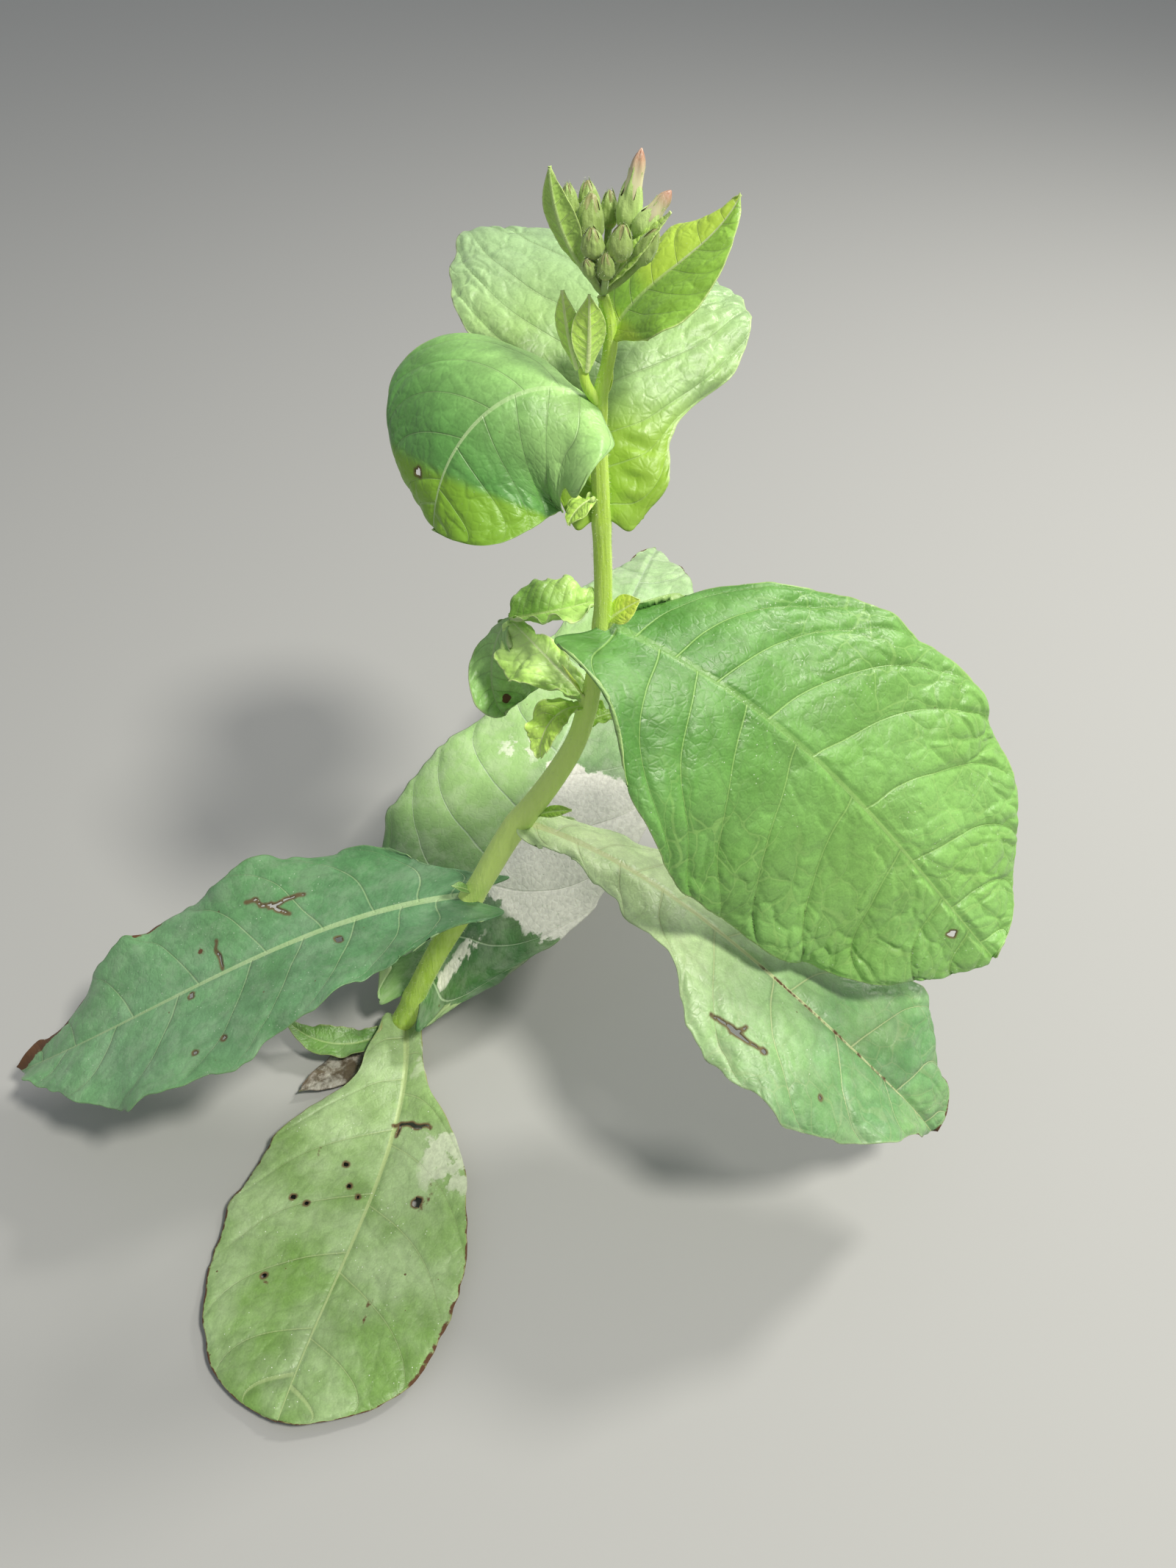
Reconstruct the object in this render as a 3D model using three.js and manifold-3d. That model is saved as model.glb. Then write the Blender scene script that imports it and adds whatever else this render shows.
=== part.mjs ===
// A small tobacco plant in bud: a leaning stem, nine broad leaves, axil leaflets, a side shoot and a flower head.
// Millimetres and degrees, +Z up, +X right, +Y back. The origin is the middle of the stem's flat cut at the ground.
import * as THREE from 'three';
import { mergeVertices } from 'three/addons/utils/BufferGeometryUtils.js';
import Module from 'manifold-3d';

const wasm = await Module();
wasm.setup();

// Clearances and fineness
const GAP = 0.3; // between a leaf or bud and the stem that carries it
const GROUND_CLEAR = 0.3; // lowest point of a leaf that lies on the ground
const THICK_PER_LENGTH = 1 / 95; // blade thickness as a share of its length
const LEAST_THICK = 0.9;
const STEM_SIDES = 12;
const TWIG_SIDES = 8;

// Stem: centre line in the plane y = 0, from the cut at the ground to the flower head. Each row is x, z, radius.
const STEM = [
  [0, 0, 9.0], [2.5, 12, 7.0], [27, 75, 6.5], [57, 139, 6.7], [76, 181, 7.0], [98, 219, 6.3],
  [112, 249, 5.5], [118.5, 277, 4.9], [122, 300, 4.5], [124, 322, 4.4], [124, 351, 4.0], [123, 380, 3.7],
  [122, 425, 3.0], [125, 442, 2.4], [126, 454, 2.4], [123, 466, 2.2],
];
const STEM_RINGS = 30;

// Leaf colours
const YOUNG_GREEN = 0x9ccc46, MID_GREEN = 0x6aa83e, OLD_GREEN = 0x6f9a66, YELLOW_GREEN = 0xb4c548;
const DEAD_BROWN = 0x6b4a35, BUD_GREEN = 0xa9c46a, STEM_GREEN = 0xb2cf3c;

// Where along a leaf its half-widths are given, from base to tip
const STATIONS = [0, 0.1, 0.2, 0.35, 0.5, 0.65, 0.8, 0.9, 1];

// Broad leaves. node: height on the stem. len: along the midrib. az, rise and roll: heading, climb and roll of the
// blade at even steps from its base to its tip. fold: lift of each half at the midrib; curl: how far each half bends
// down again, with foldRight and curlRight where the right half differs. left and right: half-widths at STATIONS.
// lobe: how far the base lobes reach back past the stem, as a share of len. tip: 0.5 round to 1.2 long-pointed.
// wave: height of the margin's waves and their number a side.
const LEAVES = {
  ground_leaf_front: {
    node: 8, len: 238, az: [-77, -104, -101], rise: [-2, 0, 1], roll: [-6, 1, 0], fold: [20, 6, 4], curl: [6, 7, 8],
    left: [12, 11, 15, 41, 58, 67, 66, 62, 50], right: [15, 25, 32, 60, 72, 74, 68, 60, 46],
    lobe: 0.03, tip: 0.5, wave: [1.5, 4], color: YELLOW_GREEN,
  },
  ground_leaf_rear: {
    node: 36, len: 420, az: [52, 66, 79], rise: [22, 18, -25], roll: [0, 0, 0], fold: [12, 5, 2], curl: [16, 15, 12],
    left: [22, 57, 84, 84, 54, 44, 38, 27, 16], right: [22, 42, 64, 76, 70, 60, 46, 32, 18],
    lobe: 0.05, tip: 0.6, wave: [3, 4], color: OLD_GREEN,
  },
  lower_leaf_left: {
    node: 131, len: 305, az: [-179, -163, -195], rise: [-5, -20, -41], roll: [4, -6, -2], fold: [16, 9, 6], curl: [8, 6, 5],
    left: [17, 29, 46, 53, 63, 59, 38, 22, 12], right: [13, 22, 45, 55, 53, 51, 40, 24, 12],
    lobe: 0.065, tip: 0.9, wave: [4, 3.5], color: OLD_GREEN,
  },
  lower_leaf_right: {
    node: 192, len: 304, az: [-12, -32, 11], rise: [-11, -29, -56], roll: [5, 5, 5], fold: [12, 5, 2], curl: [20, 20, 20],
    left: [12, 22, 38, 56, 68, 70, 60, 46, 30], right: [12, 16, 23, 36, 56, 57, 38, 26, 18],
    lobe: 0.05, tip: 0.6, wave: [4, 4], color: MID_GREEN,
  },
  crinkled_leaf: {
    node: 275, len: 102, az: [134, 136, 180, 268, 290], rise: [26, 24, -20, -84, -98], roll: [0, -6, -12, -10, 0],
    fold: [20, 10, 0, 0, 0], curl: [20, 30, 30, 20, 14], foldRight: [20, 14, 6, 0, 0], curlRight: [0, -60, -84, -30, 0],
    left: [10, 12, 14, 18, 22, 25, 25, 22, 15], right: [10, 15, 20, 26, 27, 24, 20, 17, 10],
    lobe: 0.04, tip: 0.6, wave: [3, 3], color: YOUNG_GREEN,
  },
  great_leaf_right: {
    node: 321, len: 272, az: [-18, -16, -17], rise: [-13, -43, -47], roll: [5, 42, 40], fold: [4, -4, -6], curl: [18, 18, 18],
    left: [20, 43, 64, 83, 87, 88, 72, 58, 40], right: [19, 50, 76, 85, 86, 84, 70, 54, 36],
    lobe: 0.09, tip: 0.6, wave: [3, 5], color: MID_GREEN,
  },
  rear_upper_leaf: {
    node: 374, len: 186, az: [88, 88, 92], rise: [60, 22, -62], roll: [0, 8, 10], fold: [16, 6, 2], curl: [20, 20, 20],
    left: [18, 19, 27, 52, 70, 68, 52, 36, 20], right: [18, 21, 31, 55, 61, 56, 44, 32, 18],
    lobe: 0.08, tip: 0.7, wave: [3, 3], color: YOUNG_GREEN,
  },
  upper_leaf_left: {
    node: 424, len: 104, az: [183, 207, 198], rise: [38, -28, -86], roll: [2, -34, -30], fold: [0, -8, -10], curl: [30, 32, 32],
    left: [22, 38, 45, 46, 46, 46, 44, 40, 30], right: [12, 26, 40, 48, 53, 50, 42, 34, 24],
    lobe: 0.1, tip: 0.5, wave: [1.5, 3], color: YOUNG_GREEN,
  },
  top_leaf_right: {
    node: 451, len: 70, az: [10, 21, 49], rise: [63, 33, 48], roll: [12, 14, 8], fold: [24, 14, 6], curl: [16, 22, 16],
    left: [8, 13, 16, 16, 18, 19, 15, 9, 5], right: [11, 17, 22, 25, 23, 18, 11, 7, 4],
    lobe: 0.05, tip: 1.1, wave: [1, 2], color: YOUNG_GREEN,
  },
};
const BROAD_GRID = [6, 13]; // cells across and along a broad leaf

// Small leaves: bracts, axil leaflets and basal leaves. at: x, y, z of the leaf's foot. half: widest half-width.
const SMALL_LEAVES = {
  head_bract_left: { at: [119.5, -2, 471.5], len: 41, az: [190, 230], rise: [50, 86], half: 4.4, fold: 34, color: YOUNG_GREEN },
  head_bract_right: { at: [123, -4.5, 470.5], len: 34, az: [-8, -24], rise: [48, 54], half: 3, fold: 40, color: YOUNG_GREEN },
  shoot_leaf_left: { at: [113.7, -3.1, 440], len: 28, az: [180, 200], rise: [74, 86], half: 3.6, fold: 40, color: YOUNG_GREEN },
  shoot_leaf_mid: { at: [116.4, -0.7, 440.4], len: 15, az: [90, 90], rise: [84, 78], half: 3, fold: 34, color: YOUNG_GREEN },
  shoot_leaf_right: { at: [117.2, -4.2, 439.5], len: 27, az: [-60, -100], rise: [76, 94], half: 4.2, fold: 34, color: YELLOW_GREEN },
  stem_leaflet_rear: { at: [123.2, 2, 424.5], len: 15, az: [45, 45], rise: [70, 70], half: 3, fold: 20, color: YELLOW_GREEN },
  axil_leaf_yellow: { at: [126.6, -2, 323.5], len: 19, az: [-10, -10], rise: [46, 36], half: 6.4, fold: 14, color: YELLOW_GREEN },
  axil_leaf_crumpled: { at: [114.6, -3, 273], len: 36, az: [196, 250], rise: [20, -96], half: 10, fold: 24, color: YOUNG_GREEN },
  axil_leaf_rear: { at: [114.5, 3.6, 255], len: 22, az: [36, 30], rise: [16, -24], half: 8, fold: 18, color: YOUNG_GREEN },
  axil_bract_tall: { at: [116.2, -2.4, 279.5], len: 23, az: [190, 190], rise: [58, 68], half: 2.3, fold: 30, color: YELLOW_GREEN },
  axil_leaf_oval: { at: [90.6, -3, 199.5], len: 20, az: [-8, -8], rise: [28, 8], half: 3.4, fold: 12, color: YOUNG_GREEN },
  axil_leaf_lower: { at: [53.6, -3, 137.5], len: 14, az: [195, 195], rise: [48, 30], half: 3.8, fold: 26, color: MID_GREEN },
  axil_leaf_upper: { at: [121.4, -2.2, 385], len: 20, az: [216, 226], rise: [10, -40], half: 5.5, fold: 20, color: YOUNG_GREEN },
  basal_leaf: { at: [-4, -3, 7], len: 76, az: [228, 138], rise: [-2, 24], half: 13, fold: 12, color: MID_GREEN },
  dead_leaf: { at: [-4, -4.5, 2.6], len: 70, az: [226, 214], rise: [-1, 6], half: 12, fold: 6, color: DEAD_BROWN },
};
const SMALL_GRID = [4, 6];
// Half-width of a small leaf at STATIONS, as a share of its widest
const SMALL_SHAPE = [0.3, 0.42, 0.62, 0.9, 1, 0.92, 0.66, 0.42, 0.22];

// Flower buds. from and to: the calyx foot and the bud's tip. r: the calyx's widest radius. open: share of the
// length that the petal tube stands out of the calyx.
const HEAD = [123, 0, 468];
const BUDS = {
  bud_tall: { from: [130, 3, 486], to: [135.5, 5, 513], r: 4.3, open: 0.28 },
  bud_right: { from: [134, -1, 486.5], to: [145.5, -2, 502], r: 3.3, open: 0.3 },
  bud_left: { from: [117.5, -1, 484], to: [119, 0.5, 500.5], r: 4.5, open: 0 },
  bud_rear_left: { from: [118.5, 9, 489], to: [117.5, 11, 501], r: 3.2, open: 0 },
  bud_far_left: { from: [111.5, 6, 489.5], to: [110.8, 8, 501], r: 2.8, open: 0 },
  bud_rear: { from: [124.8, 7.5, 486], to: [125.2, 9, 498], r: 2.7, open: 0.1 },
  bud_front_right: { from: [127.8, -8, 481], to: [129.5, -9.5, 493.5], r: 3.9, open: 0 },
  bud_front_left: { from: [119.5, -8, 482], to: [119, -9.5, 492.5], r: 3.5, open: 0 },
  bud_low: { from: [123.8, -10.5, 476], to: [123.6, -13.5, 485.5], r: 2.5, open: 0 },
  bud_low_left: { from: [118.8, -9.5, 476.5], to: [117, -12, 482.5], r: 2, open: 0 },
  bud_low_right: { from: [135, -7, 479.5], to: [141, -9, 492], r: 3.1, open: 0 },
};
// Calyx and petal outline of a bud: share of the length, share of the widest radius
const CALYX = [[0, 0.3], [0.08, 0.62], [0.28, 1], [0.55, 0.94], [0.8, 0.62], [1, 0.16]];
const PETALS = [[0, 0.3], [0.08, 0.66], [0.3, 1], [0.52, 0.92], [0.7, 0.62], [0.86, 0.56], [1, 0.2]];
const STALK_RADII = [2, 1.4, 1.1], STALK_SIDES = 6;

// Side shoot: centre line of its stalk, from the stem at the node of the upper left leaf
const SHOOT = [[121, -1, 426], [117, -3, 434], [115.5, -2.5, 441]];
const SHOOT_RADII = [1.9, 2.0, 1.7];

const rad = THREE.MathUtils.degToRad;

// The value at s of a leaf's list of values at even steps: three give a parabola, more a smooth curve.
function along(values, s) {
  if (values.length > 3) return smoothAt(values.map((_, i) => i / (values.length - 1)), values, s);
  const [base, middle, tip] = values;
  return base * (1 - s) * (1 - 2 * s) + 4 * middle * s * (1 - s) + tip * s * (2 * s - 1);
}

// A smooth curve through values given at the knots, read at s.
function smoothAt(knots, values, s) {
  let i = 0;
  while (i < knots.length - 2 && s > knots[i + 1]) i += 1;
  const slope = (k) => {
    const a = Math.max(k - 1, 0), b = Math.min(k + 1, knots.length - 1);
    return (values[b] - values[a]) / (knots[b] - knots[a]);
  };
  const step = knots[i + 1] - knots[i], t = (s - knots[i]) / step;
  const t2 = t * t, t3 = t2 * t;
  return (2 * t3 - 3 * t2 + 1) * values[i] + (t3 - 2 * t2 + t) * step * slope(i)
    + (3 * t2 - 2 * t3) * values[i + 1] + (t3 - t2) * step * slope(i + 1);
}

// The midrib's direction, the blade's left and the blade's up at s.
function leafAxes(leaf, s) {
  const az = rad(along(leaf.az, s)), rise = rad(along(leaf.rise, s)), roll = rad(along(leaf.roll, s));
  const ahead = new THREE.Vector3(Math.cos(rise) * Math.cos(az), Math.cos(rise) * Math.sin(az), Math.sin(rise));
  const level = new THREE.Vector3(-Math.sin(az), Math.cos(az), 0);
  const over = new THREE.Vector3().crossVectors(ahead, level);
  const left = level.clone().multiplyScalar(Math.cos(roll)).addScaledVector(over, Math.sin(roll));
  const up = over.clone().multiplyScalar(Math.cos(roll)).addScaledVector(level, -Math.sin(roll));
  return { ahead, left, up };
}

// The midrib as points at even steps of s, from a little behind the foot to the tip.
const MIDRIB_STEPS = 100, MIDRIB_BACK = 20;
function midrib(leaf, foot) {
  const step = leaf.len / MIDRIB_STEPS;
  const points = [foot.clone()];
  for (let i = 0; i < MIDRIB_STEPS; i += 1) {
    const { ahead } = leafAxes(leaf, (i + 0.5) / MIDRIB_STEPS);
    points.push(points[i].clone().addScaledVector(ahead, step));
  }
  const { ahead } = leafAxes(leaf, 0);
  for (let i = 1; i <= MIDRIB_BACK; i += 1) points.unshift(foot.clone().addScaledVector(ahead, -i * step));
  return (s) => {
    const place = THREE.MathUtils.clamp(s * MIDRIB_STEPS + MIDRIB_BACK, 0, points.length - 1.001);
    const i = Math.floor(place);
    return points[i].clone().lerp(points[i + 1], place - i);
  };
}

// Half-width of the blade at s on one side, drawn in to its tip.
const TIP_DRAW = 12, LEAST_HALF = 0.5, LEAST_BEND = 0.01;
function halfWidth(leaf, s, side) {
  const widths = side > 0 ? leaf.left : leaf.right;
  const drawn = Math.pow(Math.max(1 - Math.pow(s, TIP_DRAW), 0), leaf.tip);
  return Math.max(smoothAt(STATIONS, widths, s) * drawn, LEAST_HALF);
}

// A point of the blade's middle surface: s from base to tip, v from -1 at the right margin to 1 at the left.
const EAR_TURN = 2.3; // how far round the outline of a base lobe turns, in radians
function bladePoint(leaf, rib, s, v) {
  const side = v < 0 ? -1 : 1, u = Math.abs(v);
  const width = halfWidth(leaf, s, side);
  const swept = s - leaf.lobe * Math.sin(EAR_TURN * u * u) * Math.pow(1 - s, 4);
  const { left, up } = leafAxes(leaf, THREE.MathUtils.clamp(swept, 0, 1));
  const lift = rad(along((side < 0 && leaf.foldRight) || leaf.fold, s));
  const turn = rad(along((side < 0 && leaf.curlRight) || leaf.curl, s));
  const bend = Math.abs(turn) < LEAST_BEND ? LEAST_BEND : turn;
  const reach = width / bend;
  const out = reach * (Math.sin(lift) - Math.sin(lift - bend * u));
  const high = reach * (Math.cos(lift - bend * u) - Math.cos(lift));
  const ripple = leaf.wave[0] * u * u * Math.sin(2 * Math.PI * leaf.wave[1] * s + side) * Math.min(1, 4 * s);
  return rib(swept).addScaledVector(left, side * out).addScaledVector(up, high + ripple);
}

// A closed blade: a thin box of cells laid over the blade's surface, thicker along the midrib's underside.
const NUDGE = 0.004, RIB_DEPTH = 0.014;
function bladeGeometry(leaf, foot, [across, length]) {
  const rib = midrib(leaf, foot);
  const thick = Math.max(leaf.len * THICK_PER_LENGTH, LEAST_THICK);
  const box = new THREE.BoxGeometry(2, 1, 1, across, length, 1);
  const place = box.getAttribute('position');
  for (let i = 0; i < place.count; i += 1) {
    const t = place.getY(i) + 0.5, v = -place.getX(i), layer = place.getZ(i);
    const s = t - 0.07 * Math.sin(2 * Math.PI * t);
    const here = bladePoint(leaf, rib, s, v);
    const a = Math.min(Math.max(s, NUDGE), 1 - NUDGE), b = Math.min(Math.max(v, NUDGE - 1), 1 - NUDGE);
    const ahead = bladePoint(leaf, rib, a + NUDGE, b).sub(bladePoint(leaf, rib, a - NUDGE, b));
    const left = bladePoint(leaf, rib, a, b + NUDGE).sub(bladePoint(leaf, rib, a, b - NUDGE));
    const normal = ahead.cross(left).normalize();
    const keel = layer < 0 && Math.abs(v) < 0.01 ? leaf.len * RIB_DEPTH * (1 - s) : 0;
    here.addScaledVector(normal, layer * thick - keel);
    place.setXYZ(i, here.x, here.y, here.z);
  }
  return box;
}

// A closed tapering limb through points, with a radius at each: a cylinder laid along a smooth curve.
function limbGeometry(points, radii, sides, rings, grow = 0, flatFoot = false) {
  const curve = new THREE.CatmullRomCurve3(points, false, 'centripetal');
  const knots = points.map((_, i) => i / (points.length - 1));
  const tube = new THREE.CylinderGeometry(1, 1, 1, sides, rings);
  const place = tube.getAttribute('position');
  const level = new THREE.Vector3(0, 1, 0);
  for (let i = 0; i < place.count; i += 1) {
    const t = place.getY(i) + 0.5;
    const ahead = curve.getTangent(t);
    if (flatFoot && t < 1e-6) ahead.set(0, 0, 1);
    const a = new THREE.Vector3().crossVectors(level, ahead).normalize();
    const b = new THREE.Vector3().crossVectors(ahead, a);
    const r = smoothAt(knots, radii, t) + grow;
    const here = curve.getPoint(t);
    here.addScaledVector(a, place.getZ(i) * r).addScaledVector(b, place.getX(i) * r);
    place.setXYZ(i, here.x, here.y, here.z);
  }
  return tube;
}

// A bud: a turned outline from its foot to its tip, grown all round by a clearance.
function budGeometry(bud, grow = 0) {
  const foot = new THREE.Vector3(...bud.from), tip = new THREE.Vector3(...bud.to);
  const ahead = tip.clone().sub(foot).normalize();
  foot.addScaledVector(ahead, -grow);
  tip.addScaledVector(ahead, grow);
  const long = tip.distanceTo(foot);
  const outline = bud.open > 0 ? PETALS : CALYX;
  const profile = outline.map(([t, r]) => new THREE.Vector2(r * bud.r + grow, t * long));
  profile.unshift(new THREE.Vector2(0, 0));
  profile.push(new THREE.Vector2(0, long));
  const turned = new THREE.LatheGeometry(profile, TWIG_SIDES);
  const turn = new THREE.Quaternion().setFromUnitVectors(new THREE.Vector3(0, 1, 0), ahead);
  return turned.applyQuaternion(turn).translate(foot.x, foot.y, foot.z);
}

function toSolid(geometry) {
  const bare = new THREE.BufferGeometry();
  bare.setAttribute('position', geometry.getAttribute('position'));
  bare.setIndex(geometry.index);
  const merged = mergeVertices(bare, 1e-4);
  const solid = new wasm.Manifold(new wasm.Mesh({
    numProp: 3,
    vertProperties: merged.getAttribute('position').array,
    triVerts: new Uint32Array(merged.index.array),
  }));
  return solid;
}

function toGeometry(solid) {
  const mesh = solid.getMesh();
  const geometry = new THREE.BufferGeometry();
  geometry.setAttribute('position', new THREE.BufferAttribute(new Float32Array(mesh.vertProperties), 3));
  geometry.setIndex(new THREE.BufferAttribute(new Uint32Array(mesh.triVerts), 1));
  return geometry;
}

// The largest piece that is left of a solid after the cutters are taken from it.
function cutClear(solid, cutters) {
  let left = solid;
  for (const cutter of cutters) left = left.subtract(cutter);
  const pieces = left.decompose();
  return pieces.reduce((best, piece) => (piece.volume() > best.volume() ? piece : best));
}

const plant = new THREE.Group();
function add(name, geometry, color, roughness = 0.6) {
  const material = new THREE.MeshStandardMaterial({ color, roughness, metalness: 0 });
  const mesh = new THREE.Mesh(geometry, material);
  mesh.name = name;
  plant.add(mesh);
}

// Stem
const stemPoints = STEM.map(([x, z]) => new THREE.Vector3(x, 0, z));
const stemRadii = STEM.map(([, , r]) => r);
add('stem', limbGeometry(stemPoints, stemRadii, STEM_SIDES, STEM_RINGS, 0, true), STEM_GREEN);
const stemCutter = toSolid(limbGeometry(stemPoints, stemRadii, STEM_SIDES, STEM_RINGS, GAP));
const stemHeights = STEM.map(([, z]) => z);
const stemX = (z) => smoothAt(stemHeights, STEM.map(([x]) => x), z);

// Ground: nothing lies lower than this block's top.
const GROUND_BLOCK = 2000;
const groundCutter = toSolid(new THREE.BoxGeometry(GROUND_BLOCK, GROUND_BLOCK, GROUND_BLOCK)
  .translate(0, 0, GROUND_CLEAR - GROUND_BLOCK / 2));

// Side shoot
const shootPoints = SHOOT.map((p) => new THREE.Vector3(...p));
const shootSolid = cutClear(toSolid(limbGeometry(shootPoints, SHOOT_RADII, TWIG_SIDES, 6)), [stemCutter]);
add('side_shoot_stalk', toGeometry(shootSolid), STEM_GREEN);
const shootCutter = toSolid(limbGeometry(shootPoints, SHOOT_RADII, TWIG_SIDES, 6, GAP));

// Broad leaves, seated on the stem
for (const [name, leaf] of Object.entries(LEAVES)) {
  const foot = new THREE.Vector3(stemX(leaf.node), 0, leaf.node);
  const cutters = [stemCutter, shootCutter, groundCutter];
  const solid = cutClear(toSolid(bladeGeometry(leaf, foot, BROAD_GRID)), cutters);
  add(name, toGeometry(solid), leaf.color);
}

// Flower head: the stalks of the buds joined, with the buds just clear of their ends
const budSolids = Object.values(BUDS).map((bud) => toSolid(budGeometry(bud)));
const budCutters = Object.values(BUDS).map((bud) => toSolid(budGeometry(bud, GAP)));
let stalks = null, stalkCutter = null;
for (const bud of Object.values(BUDS)) {
  const end = new THREE.Vector3(...bud.from), start = new THREE.Vector3(...HEAD);
  const middle = start.clone().lerp(end, 0.55).add(new THREE.Vector3(0, 0, -1));
  const stalk = toSolid(limbGeometry([start, middle, end], STALK_RADII, STALK_SIDES, 2));
  const grown = toSolid(limbGeometry([start, middle, end], STALK_RADII, STALK_SIDES, 2, GAP));
  stalks = stalks ? stalks.add(stalk) : stalk;
  stalkCutter = stalkCutter ? stalkCutter.add(grown) : grown;
}
add('flower_stalks', toGeometry(cutClear(stalks, [stemCutter, ...budCutters])), BUD_GREEN);
Object.keys(BUDS).forEach((name, i) => add(name, toGeometry(budSolids[i]), BUD_GREEN));

// Small leaves
for (const [name, small] of Object.entries(SMALL_LEAVES)) {
  const [low, high] = small.rise, [first, last] = small.az;
  const widths = SMALL_SHAPE.map((share) => share * small.half);
  const leaf = {
    len: small.len, az: [first, (first + last) / 2, last], rise: [low, (low + high) / 2, high], roll: [0, 0, 0],
    fold: [small.fold, small.fold, small.fold], curl: [small.fold, small.fold, small.fold],
    left: widths, right: widths, lobe: 0, tip: 0.8, wave: [0, 1],
  };
  const foot = new THREE.Vector3(...small.at);
  const cutters = [stemCutter, shootCutter, stalkCutter, ...budCutters, groundCutter];
  add(name, toGeometry(cutClear(toSolid(bladeGeometry(leaf, foot, SMALL_GRID)), cutters)), small.color);
}

export default plant;
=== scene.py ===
"""A small tobacco plant in bud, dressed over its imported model.

Fine leaves with sunken veins, a hairy stem and ribbed flower buds stand on a plain pale floor. Sizes are in
millimetres until a mesh is made, and in metres from there.
"""
import math

import bmesh
import bpy
import numpy as np
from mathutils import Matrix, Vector


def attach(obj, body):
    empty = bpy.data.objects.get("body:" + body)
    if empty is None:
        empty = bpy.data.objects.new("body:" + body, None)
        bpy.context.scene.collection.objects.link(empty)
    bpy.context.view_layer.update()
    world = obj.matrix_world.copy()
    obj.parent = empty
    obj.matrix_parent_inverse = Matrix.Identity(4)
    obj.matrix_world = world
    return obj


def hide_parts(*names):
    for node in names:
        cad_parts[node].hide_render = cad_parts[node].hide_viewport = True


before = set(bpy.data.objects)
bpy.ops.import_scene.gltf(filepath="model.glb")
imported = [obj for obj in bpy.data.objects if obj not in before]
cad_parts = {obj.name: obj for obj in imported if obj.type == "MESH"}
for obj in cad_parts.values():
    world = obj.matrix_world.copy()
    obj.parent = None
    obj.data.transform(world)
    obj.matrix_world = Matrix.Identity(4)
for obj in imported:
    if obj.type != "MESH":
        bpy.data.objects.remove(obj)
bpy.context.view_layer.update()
MM = 0.001

bl_info = {
    "name": "Tobacco plant in bud",
    "version": (1, 0, 0),
    "blender": (4, 5, 0),
    "location": "View3D > Sidebar > Plant",
    "description": "Builds a tobacco plant with broad veined leaves and a head of buds",
    "category": "Add Mesh",
}

# Stem: x, z and radius of its centre line in the plane y = 0, from the cut at the ground to the flower head
STEM = np.array([
    (0, 0, 9.0), (2.5, 12, 7.0), (27, 75, 6.5), (57, 139, 6.7), (76, 181, 7.0), (98, 219, 6.3),
    (112, 249, 5.5), (118.5, 277, 4.9), (122, 300, 4.5), (124, 322, 4.4), (124, 351, 4.0), (123, 380, 3.7),
    (122, 425, 3.0), (125, 442, 2.4), (126, 454, 2.4), (123, 466, 2.2),
])
# Cells of the stem's mesh around and along
STEM_CELLS = (72, 460)
# Stalk radii of the side shoot and of a bud, from foot to end
SHOOT_RADII = (2.3, 2.0, 1.8)
STALK_RADII = (2, 1.35, 1.25)

# Where along a leaf its half-widths are given, and where its side veins start, as shares of its length
STATIONS = np.array([0, 0.1, 0.2, 0.35, 0.5, 0.65, 0.8, 0.9, 1])
VEIN_STARTS = (0.05, 0.12, 0.20, 0.30, 0.41, 0.55, 0.70, 0.83, 0.94)

# A midrib is kept as points at even steps, and runs on behind its foot for the lobes of the base
RIB_STEPS = 100
RIB_BEHIND = 20
LEAST_HALF_WIDTH = 0.5
# Below the first height a leaf levels out, and it never sinks to the second
NEAR_GROUND = 5
OVER_GROUND = 1.2
# Step in s and v over which a blade's normal is measured
NORMAL_STEP = 0.004
# Distance from a hole or tear where a leaf has none
FAR_FROM_GAP = 99.0

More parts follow.
